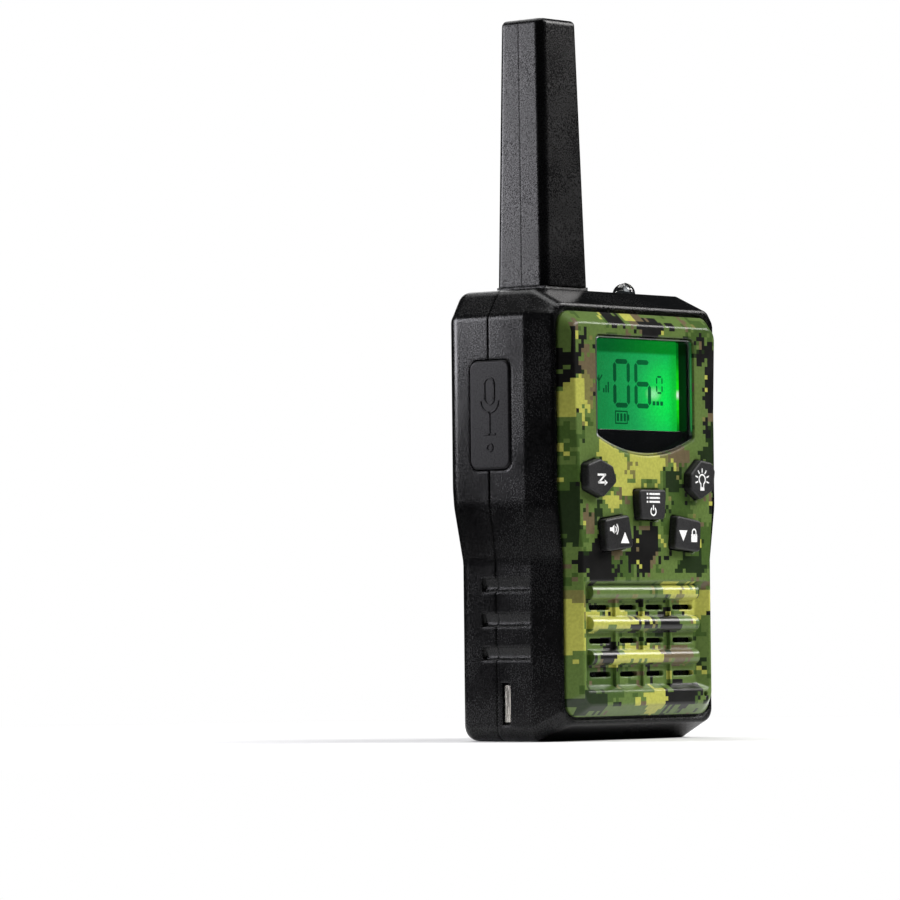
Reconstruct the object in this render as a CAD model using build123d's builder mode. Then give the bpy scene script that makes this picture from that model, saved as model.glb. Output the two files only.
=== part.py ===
"""Toy walkie talkie: one handheld radio, modelled as its separate pieces.

Millimetres, +Z up. The origin is the centre of the flat foot that the handset stands on,
X runs to the right of someone facing the front, and +Y runs towards the back.
"""

import os

from build123d import *

# ---- driving dimensions -------------------------------------------------------------------

BODY_TOP = 97.0
ANTENNA_TOP = 155.7

# Depth planes, from the front of the keys to the back of the case
KEY_TOP_Y = -19.3
PANEL_Y = -17.46  # flat face of the camouflage panel
PANEL_BACK_Y = -15.9  # back of the panel's skin
RIM_Y = -14.5  # front edge of the case, which carries the panel
WALL_BACK_Y = -12.5  # inner face of the front wall
FLANK_Y = -7.0  # widest section of the case
SEAM_Y = 3.0  # where the two case halves meet
DECK_Y = 10.6  # inner face of the wall under the battery door
DOOR_SEAT_Y = 12.6
LOW_BACK_Y = 14.2  # back of the lower, slimmer part
BACK_Y = 15.5

# Outline of the case, seen from the front
HALF_LOW = 26.3
HALF_HIGH = 28.0
RIM_HALF_LOW = 25.1
RIM_HALF_HIGH = 27.0
WAIST_LOW_Z = 38.5
WAIST_HIGH_Z = 50.5
RIM_BOTTOM_Z = 3.6
RECESS_Y = -13.9  # floor of the recess that the panel's edge stands in
RIM_TOP_Z = 93.4
SHOULDER_DROP = 6.0
SHOULDER_RUN = 3.6
RIM_SHOULDER_DROP = 2.8
RIM_SHOULDER_RUN = 2.2
CORNER_R = 3.0
WAIST_R = 14.0
BACK_EDGE_R = 3.5
WALL = 2.2
FIT = 0.15  # clearance between fixed pieces
PLAY = 0.25  # clearance round a pressed key

# Display
WINDOW_HALF = 16.5
WINDOW_TOP_Z = 86.9
WINDOW_SIDE_Z = 65.0
WINDOW_SAG_Z = 61.1
LENS_FRONT_Y = -17.3
BEZEL_FRONT_Y = -15.9
LCD_FRONT_Y = -13.3
LCD_HALF = 18.6
LCD_LOW_Z = 64.9
LCD_HIGH_Z = 88.5
LCD_THICK = 2.0
GUIDE_THICK = 2.6
VIEW_HALF = 15.7  # opening of the bezel in front of the display
VIEW_LOW_Z = 66.7
VIEW_HIGH_Z = 86.3

# Main board
BOARD_FRONT_Y = -7.4
BOARD_THICK = 1.2
BOARD_BACK_Y = BOARD_FRONT_Y + BOARD_THICK
BOARD_HALF = 20.9
BOARD_LOW_Z = 37.0
BOARD_HIGH_Z = 93.6

# Keys: outline of each cap, its legends' side outwards
KEY_FLANGE = 0.9
KEY_TRAVEL = 0.6
SWITCH_GAP = 0.04  # left between a fully pressed button and its switch
KEY_OUTLINES = {
    "call_key": [
        (-21.5, 58.9),
        (-17.3, 60.2),
        (-13.0, 58.6),
        (-11.8, 55.3),
        (-16.2, 52.0),
        (-21.4, 53.8),
    ],
    "light_key": [
        (12.9, 57.3),
        (16.5, 60.4),
        (20.3, 59.9),
        (21.4, 58.0),
        (20.7, 53.9),
        (16.4, 51.8),
        (12.9, 54.0),
    ],
    "menu_key": [(-4.6, 53.8), (4.6, 53.8), (4.0, 47.4), (-4.0, 47.4)],
    "up_key": [(-16.1, 47.2), (-8.0, 48.3), (-6.6, 41.3), (-15.3, 40.4)],
    "down_key": [(16.3, 47.1), (8.1, 48.3), (7.2, 41.2), (15.9, 40.4)],
}

# Speaker and microphone
SPEAKER_Z = 20.6
SPEAKER_R = 16.0
SLOT_ROWS_Z = (28.5, 21.35, 14.2)
SLOT_WIDTHS = {-13.9: 6.9, -4.4: 5.8, 4.4: 5.8, 13.9: 6.9}  # width of the slot at each X
SLOT_TALL = 1.1
BARS_Z = (31.75, 24.95, 17.8)  # rounded bars above each row of slots
BAR_HALF = 17.8
BAR_HALF_TALL = 1.65
BAR_TOP_Y = -17.2
TRAY_Y = -15.5  # floor of the sunk tray that holds the slots
TRAY_BACK_Y = -14.3
TRAY_HALF = 18.2
TRAY_LOW_Z = 11.8
TRAY_HIGH_Z = 33.0
TRAY_END_SLOPE = 1.3  # how far the tray's ends run out for each mm of depth
TRAY_SIDE_SLOPE = 0.6
RIBS_X = (-9.1, 0.0, 9.1)
MIC_X = 19.3
MIC_Z = 9.6
MIC_R = 3.0

# Push-to-talk button, on the left side
PTT_Z = 70.0
PTT_Y = 2.5
PTT_DEEP = 11.4
PTT_TALL = 23.4
PTT_FACE_X = -28.35
PTT_TRAVEL = 0.7

# Antenna
ANT_X = -12.55
ANT_BASE_Z = 97.8
ANT_BASE = (14.7, 14.5, 0.75)  # width, depth and centre Y where it leaves the case
ANT_TIP = (12.3, 12.3, 1.2)
ANT_X_CUT = 1.2  # width and depth of its cut-off corners
ANT_Y_CUT = 1.4
ANT_EDGE = 1.2  # rounding of its long edges and its tip
ANT_BORE = 6.6
ANT_BORE_TOP_Z = 148.0
ANT_SEAM_Y = 0.2  # where its two halves meet at the foot
ANT_SEAM_LEAN = 1.3  # how much farther back they meet at the tip
NECK = 9.6
COLLAR_HALF_X = 7.0
COLLAR_HALF_Y = 6.9

# Torch
LED_X = 15.2
LED_Y = 1.1
LED_R = 2.5
LED_DOME_Z = BODY_TOP + 0.6

# Battery bay, which holds four AAA cells side by side
CELL_R = 5.2
CELL_LONG = 44.5
CELL_NUB_R = 1.9
CELL_NUB = 0.9
CELL_PITCH = 10.9
CELL_Y = 7.1
BAY_HALF = 22.1
BAY_LOW_Z = 5.2
BAY_HIGH_Z = 54.8
BAY_FLOOR_Y = 1.7
BAY_WALL = 1.4
PLATE = 0.3

# Battery door
DOOR_HALF = 23.4
DOOR_HIGH_Z = 70.3
DOOR_LOW_Z = 0.4
RAIL = 0.8  # how far the door's side tongues reach into the case
RAIL_THICK = 0.6
CLIP_CHANNEL_HALF = 11.0

GROOVE_DEEP = 0.8  # parting groove along the door's top edge

# Grip grooves and dock contacts, on the sides
GRIP_TOPS_Z = (35.0, 27.5, 20.3)
GRIP_TALL = 3.1
GRIP_DEEP = 0.5
GRIP_LEDGE = 0.9  # depth of the sloping ledge at the foot of each groove
GRIP_Y = (-6.7, 7.0)
CONTACT_Y = (-0.5, 1.1)
CONTACT_LOW_Z = 4.2
CONTACT_TOPS_Z = {1: 21.6, -1: 12.0}  # the right-hand strip is the longer one
TAB_LOW_Z = 8.2  # tab that reaches inwards through the wall
TAB_HIGH_Z = 10.8

# Belt clip
CLIP_Z = 84.0
CLIP_Y = 21.6
CLIP_PIN_R = 1.2
CLIP_BARREL_R = 2.4
CLIP_HALF = 6.9
LUG_HALF = 9.6
CLIP_RUNNING = 0.06

# Screws
TOP_SCREW_X = 23.3
TOP_SCREW_Z = 86.0
MID_SCREW_Z = 60.8
BOARD_SCREWS = [(-19.2, 38.7), (19.2, 38.7), (-18.7, 91.9), (18.7, 91.9)]
CASE_SCREWS = [(-TOP_SCREW_X, TOP_SCREW_Z), (TOP_SCREW_X, TOP_SCREW_Z), (0.0, MID_SCREW_Z)]


# ---- shared construction ------------------------------------------------------------------


def at_y(y):
    """Work plane across the handset at depth y; extruding goes towards the front."""
    return Plane.XZ.offset(-y)


def mirrored(points):
    """A closed outline from its right-hand points, listed from the bottom up."""
    return points + [(-x, z) for x, z in reversed(points)]


def ring_radii(radii):
    """Corner radii to go with mirrored()."""
    return radii + list(reversed(radii))


def case_face(y, low, high, bottom, top, run=SHOULDER_RUN, drop=SHOULDER_DROP, inset=0.0):
    """The case's outline at depth y: slim below the waist, with cut-off shoulders."""
    right = [
        (low - inset, bottom + inset),
        (low - inset, WAIST_LOW_Z),
        (high - inset, WAIST_HIGH_Z),
        (high - inset, top - drop),
        (high - inset - run, top - inset),
    ]
    radii = ring_radii([CORNER_R, WAIST_R, WAIST_R, 2.5, 2.5])
    with BuildSketch(at_y(y)) as face:
        with BuildLine():
            FilletPolyline(mirrored(right), radius=radii, close=True)
        make_face()
    return face.sketch


def panel_face(y, half_top, half_mid, half_low, bottom, top, corner):
    """The camouflage panel's outline at depth y, which follows the case's waist."""
    right = [
        (half_low, bottom),
        (half_low, WAIST_LOW_Z + 0.5),
        (half_mid, WAIST_HIGH_Z + 1.0),
        (half_top, top),
    ]
    radii = ring_radii([corner, 12.0, 12.0, corner])
    with BuildSketch(at_y(y)) as face:
        with BuildLine():
            FilletPolyline(mirrored(right), radius=radii, close=True)
        make_face()
    return face.sketch


def window_face(y, grow):
    """The display opening's outline, straight on three sides with a sagging lower edge."""
    half = WINDOW_HALF + grow
    with BuildSketch(at_y(y)) as face:
        with BuildLine():
            Line((-half, WINDOW_SIDE_Z), (-half, WINDOW_TOP_Z + grow))
            Line((-half, WINDOW_TOP_Z + grow), (half, WINDOW_TOP_Z + grow))
            Line((half, WINDOW_TOP_Z + grow), (half, WINDOW_SIDE_Z))
            ThreePointArc((half, WINDOW_SIDE_Z), (0, WINDOW_SAG_Z - grow), (-half, WINDOW_SIDE_Z))
        make_face()
        fillet(face.vertices(), 1.4)
    return face.sketch


def key_face(y, outline, grow):
    """A key's outline at depth y, grown or shrunk all round, with softened corners."""
    with BuildSketch(at_y(y)) as face:
        with BuildLine():
            Polyline(outline, close=True)
        make_face()
        if grow != 0:
            offset(amount=grow, kind=Kind.INTERSECTION)
        fillet(face.vertices(), 0.9)
    return face.sketch


def box_between(low, high, mode=Mode.ADD):
    """A block given by its two opposite corners."""
    size = [b - a for a, b in zip(low, high)]
    with Locations(tuple((a + b) / 2 for a, b in zip(low, high))):
        Box(*size, mode=mode)


def rod_y(x, z, radius, front, back, mode=Mode.ADD):
    """A round post, or hole, that runs from depth front to depth back."""
    with BuildSketch(at_y(back)) as disc:
        with Locations((x, z)):
            Circle(radius)
    extrude(disc.sketch, amount=back - front, mode=mode)


def rod_z(x, y, radius, low, high, mode=Mode.ADD):
    """An upright post, or hole, from height low to height high."""
    with BuildSketch(Plane.XY.offset(low)) as disc:
        with Locations((x, y)):
            Circle(radius)
    extrude(disc.sketch, amount=high - low, mode=mode)


def side_plate(points, radii, x_low, x_high, mode=Mode.ADD):
    """A plate cut to a Y-Z outline, standing between two X positions."""
    with BuildSketch(Plane.YZ.offset(x_low)) as face:
        with BuildLine():
            FilletPolyline(points, radius=radii, close=True)
        make_face()
    extrude(face.sketch, amount=x_high - x_low, mode=mode)


def revolved_y(points, z):
    """A round piece about a front-to-back axis at height z, from (radius, depth) points."""
    with BuildSketch(Plane.YZ) as face:
        with BuildLine():
            Polyline([(y, z + radius) for radius, y in points], close=True)
        make_face()
    revolve(face.sketch, axis=Axis((0, 0, z), (0, 1, 0)))


def wire(points, bend, radius):
    """A round wire along straight runs joined by tangent arcs."""
    with BuildLine() as path:
        FilletPolyline(points, radius=bend)
    start = Plane(path.line @ 0, z_dir=path.line % 0)
    with BuildSketch(start) as section:
        Circle(radius)
    sweep(section.sketch, path=path.line)


def coil(x, y, low, turns, pitch, radius, wire_radius):
    """An upright helical spring whose wire starts at height low."""
    with BuildLine() as path:
        Helix(pitch=pitch, height=turns * pitch, radius=radius, center=(x, y, low + wire_radius))
    start = Plane(path.line @ 0, z_dir=path.line % 0)
    with BuildSketch(start) as section:
        Circle(wire_radius)
    sweep(section.sketch, path=path.line, is_frenet=True)


def top_openings():
    """Cuts the holes for the antenna's neck and the torch in the case's top."""
    half = NECK / 2 + 0.1
    box_between(
        (ANT_X - half, ANT_BASE[2] - half, BODY_TOP - 5),
        (ANT_X + half, ANT_BASE[2] + half, BODY_TOP + 3),
        mode=Mode.SUBTRACT,
    )
    rod_z(LED_X, LED_Y, LED_R + 0.1, BODY_TOP - 5, BODY_TOP + 3, mode=Mode.SUBTRACT)


def antenna_collar(front, back):
    """The part of the collar round the antenna's foot between two depths."""
    low = (ANT_X - COLLAR_HALF_X, front, BODY_TOP - 1)
    high = (ANT_X + COLLAR_HALF_X, back, ANT_BASE_Z)
    box_between(low, high)


def ptt_opening():
    """Cuts the push-to-talk button's opening in the left side."""
    with BuildSketch(Plane.YZ.offset(-30)) as face:
        with Locations((PTT_Y, PTT_Z)):
            RectangleRounded(PTT_DEEP + 2 * PLAY, PTT_TALL + 2 * PLAY, 2.0 + PLAY)
    extrude(face.sketch, amount=6, mode=Mode.SUBTRACT)


def grip_grooves():
    """Cuts the finger grooves, each with a sloping ledge at its foot, in both sides."""
    for side in (1, -1):
        for top in GRIP_TOPS_Z:
            foot = top - GRIP_TALL
            outline = [
                (side * (HALF_LOW - GRIP_DEEP), top),
                (side * (HALF_LOW + 1), top),
                (side * (HALF_LOW + 1), foot),
                (side * HALF_LOW, foot),
                (side * (HALF_LOW - GRIP_LEDGE), foot + GRIP_LEDGE),
            ]
            with BuildSketch(at_y(GRIP_Y[1])) as face:
                with BuildLine():
                    Polyline(outline, close=True)
                make_face()
            extrude(face.sketch, amount=GRIP_Y[1] - GRIP_Y[0], mode=Mode.SUBTRACT)


def parting_groove():
    """Cuts the groove that runs across the back along the door's top edge."""
    outline = [
        (BACK_Y - GROOVE_DEEP, DOOR_HIGH_Z),
        (BACK_Y + 0.4, DOOR_HIGH_Z + 0.9),
        (BACK_Y + 0.4, DOOR_HIGH_Z - 0.9),
    ]
    side_plate(outline, [0, 0, 0], -25.4, 25.4, mode=Mode.SUBTRACT)


# ---- case halves --------------------------------------------------------------------------

with BuildPart() as front_shell:
    rim = (RIM_HALF_LOW, RIM_HALF_HIGH, RIM_BOTTOM_Z, RIM_TOP_Z)
    rim_outline = case_face(RIM_Y, *rim, run=RIM_SHOULDER_RUN, drop=RIM_SHOULDER_DROP)
    flank_outline = case_face(FLANK_Y, HALF_LOW, HALF_HIGH, 0, BODY_TOP)
    loft([rim_outline, flank_outline], ruled=True)
    extrude(case_face(SEAM_Y, HALF_LOW, HALF_HIGH, 0, BODY_TOP), amount=SEAM_Y - FLANK_Y)
    fillet(front_shell.faces().sort_by(Axis.Y)[0].edges(), 0.55)
    chamfer(front_shell.faces().sort_by(Axis.Y)[-1].edges(), 0.25)
    # recess for the panel, just wider than it, which leaves a raised rim all round
    recess = panel_face(RECESS_Y, 25.85, 26.05, 24.45, 4.6, 92.35, 3.9)
    extrude(recess, amount=RECESS_Y - RIM_Y + 1, mode=Mode.SUBTRACT)
    inner = (RIM_HALF_LOW, RIM_HALF_HIGH, RIM_BOTTOM_Z - 0.9, RIM_TOP_Z + 0.9)
    inner_front = case_face(WALL_BACK_Y, *inner, inset=WALL)
    inner_flank = case_face(FLANK_Y, HALF_LOW, HALF_HIGH, 0, BODY_TOP, inset=WALL)
    loft([inner_front, inner_flank], ruled=True, mode=Mode.SUBTRACT)
    inside = case_face(SEAM_Y, HALF_LOW, HALF_HIGH, 0, BODY_TOP, inset=WALL)
    extrude(inside, amount=SEAM_Y - FLANK_Y, mode=Mode.SUBTRACT)
    # openings in the front wall: display, keys and microphone
    box_between((-20.4, RIM_Y - 1, 63.4), (20.4, WALL_BACK_Y + 0.5, 90.0), mode=Mode.SUBTRACT)
    for outline in KEY_OUTLINES.values():
        extrude(key_face(WALL_BACK_Y + 1, outline, 0.45), amount=4, mode=Mode.SUBTRACT)
    rod_y(MIC_X, MIC_Z, 0.8, RIM_Y - 1, WALL_BACK_Y + 1, mode=Mode.SUBTRACT)
    # ring that locates the speaker behind its sound opening
    rod_y(0, SPEAKER_Z, SPEAKER_R + 1.3, WALL_BACK_Y - 0.4, WALL_BACK_Y + 2.8)
    rod_y(0, SPEAKER_Z, SPEAKER_R + 0.15, WALL_BACK_Y, WALL_BACK_Y + 3.8, mode=Mode.SUBTRACT)
    rod_y(0, SPEAKER_Z, SPEAKER_R - 1.5, RIM_Y - 1, WALL_BACK_Y + 1, mode=Mode.SUBTRACT)
    # posts for the screws
    for x, z in BOARD_SCREWS:
        rod_y(x, z, 1.5, WALL_BACK_Y - 0.5, BOARD_FRONT_Y)
        rod_y(x, z, 0.8, WALL_BACK_Y + 0.8, BOARD_FRONT_Y, mode=Mode.SUBTRACT)
    for x, z in CASE_SCREWS:
        rod_y(x, z, 2.3, WALL_BACK_Y - 0.5, SEAM_Y)
        rod_y(x, z, 0.95, WALL_BACK_Y + 6, SEAM_Y, mode=Mode.SUBTRACT)
    antenna_collar(ANT_BASE[2] - COLLAR_HALF_Y, SEAM_Y)
    top_openings()
    ptt_opening()
    grip_grooves()
    for side, top in CONTACT_TOPS_Z.items():
        wide = sorted((side * (HALF_LOW - 1.0), side * (HALF_LOW + 1.0)))
        deep = sorted((side * (HALF_LOW - 3.0), side * HALF_LOW))
        box_between(
            (wide[0], CONTACT_Y[0] - 0.4, CONTACT_LOW_Z - 0.6),
            (wide[1], CONTACT_Y[1] + 0.4, top + 0.6),
            mode=Mode.SUBTRACT,
        )
        box_between(
            (deep[0], CONTACT_Y[0], TAB_LOW_Z - 0.2),
            (deep[1], CONTACT_Y[0] + 0.7, TAB_HIGH_Z + 0.2),
            mode=Mode.SUBTRACT,
        )

with BuildPart() as rear_block:
    extrude(case_face(BACK_Y, HALF_LOW, HALF_HIGH, 0, BODY_TOP), amount=BACK_Y - SEAM_Y)
    profile = [
        (SEAM_Y, -1),
        (LOW_BACK_Y, -1),
        (LOW_BACK_Y, WAIST_LOW_Z),
        (BACK_Y, WAIST_HIGH_Z + 4),
        (BACK_Y, BODY_TOP + 1),
        (SEAM_Y, BODY_TOP + 1),
    ]
    side_plate(profile, [0, 0, 16.0, 16.0, 0, 0], -40, 40, mode=Mode.INTERSECT)
    back_faces = rear_block.faces().filter_by(lambda face: face.normal_at().Y > 0.5)
    outer_edges = [
        edge
        for edge in back_faces.edges()
        if sum(edge in face.edges() for face in back_faces) == 1
    ]
    fillet(outer_edges, BACK_EDGE_R)

with BuildPart() as rear_hollow:
    inside = case_face(BACK_Y - WALL, HALF_LOW, HALF_HIGH, 0, BODY_TOP, inset=WALL)
    extrude(inside, amount=BACK_Y - WALL - SEAM_Y)
    box_between((-40, DECK_Y, -1), (40, BACK_Y, DOOR_HIGH_Z + 1.6), mode=Mode.SUBTRACT)

with BuildPart() as rear_shell:
    add(rear_block.part)
    chamfer(rear_shell.faces().sort_by(Axis.Y)[0].edges(), 0.25)
    add(rear_hollow.part, mode=Mode.SUBTRACT)
    # battery bay, which reaches forward past the seam
    bay_half = BAY_HALF + BAY_WALL
    box_between(
        (-bay_half, BAY_FLOOR_Y - 1.2, BAY_LOW_Z - BAY_WALL),
        (bay_half, DOOR_SEAT_Y, BAY_HIGH_Z + BAY_WALL),
    )
    box_between(
        (-BAY_HALF, BAY_FLOOR_Y, BAY_LOW_Z),
        (BAY_HALF, BACK_Y + 1, BAY_HIGH_Z),
        mode=Mode.SUBTRACT,
    )
    # posts for the three case screws
    for x, z in CASE_SCREWS:
        back = DECK_Y + 0.5 if x == 0 else BACK_Y - WALL + 0.5
        rod_y(x, z, 2.9, SEAM_Y, back)
    # seat and side slots for the battery door
    door_gap = DOOR_HALF + FIT
    box_between(
        (-door_gap, DOOR_SEAT_Y, -1),
        (door_gap, BACK_Y + 2, DOOR_HIGH_Z + FIT),
        mode=Mode.SUBTRACT,
    )
    slot = DOOR_HALF + RAIL + 0.1
    box_between(
        (-slot, DOOR_SEAT_Y - 0.05, -1),
        (slot, DOOR_SEAT_Y + RAIL_THICK + 0.1, BAY_HIGH_Z + 10),
        mode=Mode.SUBTRACT,
    )
    for x, z in CASE_SCREWS:
        seat = SEAM_Y + (4 if x == 0 else 5)
        rod_y(x, z, 1.2, SEAM_Y - 1, BACK_Y, mode=Mode.SUBTRACT)
        rod_y(x, z, 2.4, seat, BACK_Y + 1, mode=Mode.SUBTRACT)
    # tongue that hooks behind the front shell's lower wall
    box_between((-8, SEAM_Y, 1.8), (8, SEAM_Y + 2, 3.6))
    box_between((-8, SEAM_Y - 2.2, WALL + FIT), (8, SEAM_Y, 3.6))
    antenna_collar(SEAM_Y, ANT_BASE[2] + COLLAR_HALF_Y)
    # lugs for the belt clip's pin
    lug = [(BACK_Y - 1, 79.5), (CLIP_Y + 2.6, 81.2), (CLIP_Y + 2.6, 86.8), (BACK_Y - 1, 88.5)]
    for low, high in ((-LUG_HALF, -CLIP_HALF - 0.05), (CLIP_HALF + 0.05, LUG_HALF)):
        side_plate(lug, [0, 2.4, 2.4, 0], low, high)
    with Locations(Location((0, CLIP_Y, CLIP_Z), (0, 90, 0))):
        Cylinder(CLIP_PIN_R, 2 * LUG_HALF + 2, mode=Mode.SUBTRACT)
    top_openings()
    ptt_opening()
    grip_grooves()
    parting_groove()

# ---- front panel, lens and bezel ----------------------------------------------------------



def tray_face(y):
    """Outline of the speaker tray at depth y, which widens towards the front."""
    rise = TRAY_Y - y
    wide = 2 * (TRAY_HALF + TRAY_END_SLOPE * rise)
    tall = TRAY_HIGH_Z - TRAY_LOW_Z + 2 * TRAY_SIDE_SLOPE * rise
    with BuildSketch(at_y(y)) as face:
        with Locations((0, (TRAY_LOW_Z + TRAY_HIGH_Z) / 2)):
            RectangleRounded(wide, tall, 1.0)
    return face.sketch


with BuildPart() as front_panel:
    edge = (25.3, 25.5, 23.9, 5.2, 91.8, 3.5)
    extrude(panel_face(RECESS_Y, *edge), amount=0.8)
    flat = panel_face(PANEL_Y, 23.8, 22.4, 21.3, 7.6, 89.3, 2.6)
    loft([panel_face(RECESS_Y - 0.8, *edge), flat], ruled=True)
    fillet(front_panel.faces().sort_by(Axis.Y)[0].edges(), 0.5)
    hollow = panel_face(RECESS_Y, 23.2, 22.7, 21.5, 7.6, 89.6, 2.0)
    extrude(hollow, amount=RECESS_Y - PANEL_BACK_Y, mode=Mode.SUBTRACT)
    # sunk tray of the speaker, in a thicker part of the panel
    box_between((-22, PANEL_BACK_Y - 0.2, TRAY_LOW_Z - 2.6), (22, TRAY_BACK_Y, TRAY_HIGH_Z + 2.6))
    loft([tray_face(TRAY_Y), tray_face(PANEL_Y - 0.5)], ruled=True, mode=Mode.SUBTRACT)
    for rib_x in RIBS_X:
        box_between(
            (rib_x - 0.35, TRAY_Y - 0.7, TRAY_LOW_Z - 0.2),
            (rib_x + 0.35, TRAY_Y + 0.2, TRAY_HIGH_Z + 0.2),
        )
    for bar_z in BARS_Z:
        section = [
            (TRAY_Y + 0.2, bar_z - BAR_HALF_TALL),
            (BAR_TOP_Y, bar_z - BAR_HALF_TALL),
            (BAR_TOP_Y, bar_z + BAR_HALF_TALL),
            (TRAY_Y + 0.2, bar_z + BAR_HALF_TALL),
        ]
        side_plate(section, [0, 1.5, 1.5, 0], -BAR_HALF, BAR_HALF)
    for slot_z in SLOT_ROWS_Z:
        for slot_x, slot_wide in SLOT_WIDTHS.items():
            with BuildSketch(at_y(RECESS_Y)) as slot_face:
                with Locations((slot_x, slot_z)):
                    RectangleRounded(slot_wide, SLOT_TALL, 0.5)
            extrude(slot_face.sketch, amount=6, mode=Mode.SUBTRACT)
    extrude(window_face(RECESS_Y, 0), amount=6, mode=Mode.SUBTRACT)
    for outline in KEY_OUTLINES.values():
        extrude(key_face(RECESS_Y, outline, PLAY), amount=6, mode=Mode.SUBTRACT)
    rod_y(MIC_X, MIC_Z, 0.6, PANEL_Y - 1, RECESS_Y, mode=Mode.SUBTRACT)

with BuildPart() as display_window:
    extrude(window_face(BEZEL_FRONT_Y, -0.1), amount=BEZEL_FRONT_Y - LENS_FRONT_Y)
    chamfer(display_window.faces().sort_by(Axis.Y)[0].edges(), 0.5)

with BuildPart() as display_bezel:
    box_between((-18.2, BEZEL_FRONT_Y, 60.8), (18.2, RECESS_Y - 0.05, 88.4))
    box_between((-18.2, RECESS_Y - 0.05, 63.6), (18.2, LCD_FRONT_Y - 0.05, 88.4))
    with BuildSketch(at_y(LCD_FRONT_Y)) as view:
        with Locations((0, (VIEW_LOW_Z + VIEW_HIGH_Z) / 2)):
            RectangleRounded(2 * VIEW_HALF, VIEW_HIGH_Z - VIEW_LOW_Z, 0.6)
    extrude(view.sketch, amount=4, mode=Mode.SUBTRACT)
    for outline in (KEY_OUTLINES["call_key"], KEY_OUTLINES["light_key"]):
        extrude(key_face(RECESS_Y + 1, outline, 0.4), amount=4, mode=Mode.SUBTRACT)

# ---- display ------------------------------------------------------------------------------

with BuildPart() as lcd_glass:
    box_between((-LCD_HALF, LCD_FRONT_Y, LCD_LOW_Z), (LCD_HALF, LCD_FRONT_Y + LCD_THICK, LCD_HIGH_Z))

with BuildPart() as lcd_connector:
    box_between((-16, LCD_FRONT_Y + LCD_THICK, LCD_LOW_Z), (16, BOARD_FRONT_Y, LCD_LOW_Z + 1.6))

guide_front = LCD_FRONT_Y + LCD_THICK + 0.05
with BuildPart() as light_guide:
    box_between((-17.9, guide_front, LCD_LOW_Z + 1.8), (17.9, guide_front + GUIDE_THICK, LCD_HIGH_Z))

with BuildPart() as backlight_leds:
    for side in (1, -1):
        ends = sorted((side * 17.95, side * 18.6))
        box_between((ends[0], guide_front + 0.6, 75.0), (ends[1], guide_front + 2.0, 77.4))

with BuildPart() as lcd_holder:
    box_between((-20.0, LCD_FRONT_Y, 63.7), (20.0, BOARD_FRONT_Y, 89.7))
    box_between(
        (-LCD_HALF - 0.05, LCD_FRONT_Y - 1, LCD_LOW_Z - 0.05),
        (LCD_HALF + 0.05, BOARD_FRONT_Y + 1, LCD_HIGH_Z + 0.05),
        mode=Mode.SUBTRACT,
    )

# ---- keys ---------------------------------------------------------------------------------

key_centres = {
    name: (sum(x for x, z in outline) / len(outline), sum(z for x, z in outline) / len(outline))
    for name, outline in KEY_OUTLINES.items()
}


def key_piece(outline, centre):
    """A key: its cap, the flange that keeps it in, and the stem over its switch."""
    with BuildPart() as key:
        flange_front = WALL_BACK_Y + 0.1
        extrude(key_face(flange_front, outline, 0), amount=flange_front - KEY_TOP_Y)
        fillet(key.faces().sort_by(Axis.Y)[0].edges(), 0.45)
        extrude(key_face(flange_front + 0.8, outline, KEY_FLANGE), amount=0.8)
        rod_y(*centre, 1.2, flange_front + 0.8, BOARD_FRONT_Y - 2.1 - KEY_TRAVEL - SWITCH_GAP)
    return key


keys = {name: key_piece(outline, key_centres[name]) for name, outline in KEY_OUTLINES.items()}

with BuildPart() as key_switches:
    for x, z in key_centres.values():
        box_between((x - 2.25, BOARD_FRONT_Y - 1.6, z - 2.25), (x + 2.25, BOARD_FRONT_Y, z + 2.25))
        rod_y(x, z, 1.0, BOARD_FRONT_Y - 2.1, BOARD_FRONT_Y - 1.6)

with BuildPart() as key_mat:
    box_between((-21.4, BOARD_FRONT_Y - 2.0, 40.9), (21.4, BOARD_FRONT_Y - 1.65, 59.6))
    for x, z in key_centres.values():
        rod_y(x, z, 1.5, BOARD_FRONT_Y - 3, BOARD_FRONT_Y, mode=Mode.SUBTRACT)
    rod_y(0, MID_SCREW_Z, 2.7, BOARD_FRONT_Y - 3, BOARD_FRONT_Y, mode=Mode.SUBTRACT)

# ---- main board and its parts -------------------------------------------------------------

with BuildPart() as main_board:
    box_between((-BOARD_HALF, BOARD_FRONT_Y, BOARD_LOW_Z), (BOARD_HALF, BOARD_BACK_Y, BOARD_HIGH_Z))
    rod_y(0, MID_SCREW_Z, 2.6, BOARD_FRONT_Y - 1, BOARD_BACK_Y + 1, mode=Mode.SUBTRACT)
    for x, z in BOARD_SCREWS:
        rod_y(x, z, 1.1, BOARD_FRONT_Y - 1, BOARD_BACK_Y + 1, mode=Mode.SUBTRACT)

with BuildPart() as rf_shield:
    box_between((-12, BOARD_BACK_Y, 66), (10, BOARD_BACK_Y + 3.0, 88))
    box_between((-11.7, BOARD_BACK_Y, 66.3), (9.7, BOARD_BACK_Y + 2.7, 87.7), mode=Mode.SUBTRACT)

CHIPS = [((-9, 45), (-2, 52)), ((6, 44), (10, 49)), ((-4, 73), (3, 80))]
with BuildPart() as radio_chips:
    for (x_low, z_low), (x_high, z_high) in CHIPS:
        box_between((x_low, BOARD_BACK_Y, z_low), (x_high, BOARD_BACK_Y + 1.0, z_high))

with BuildPart() as crystal:
    box_between((11.5, BOARD_BACK_Y, 52), (15.5, BOARD_BACK_Y + 3.4, 63))
    fillet(crystal.edges().filter_by(Axis.Y), 1.5)

with BuildPart() as ptt_switch:
    box_between((-20.6, BOARD_BACK_Y, 67), (-17.0, BOARD_BACK_Y + 3.8, 73))
    box_between((-21.4, BOARD_BACK_Y + 1.4, 69), (-20.6, BOARD_BACK_Y + 3.2, 71))

# ---- push-to-talk button ------------------------------------------------------------------

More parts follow.
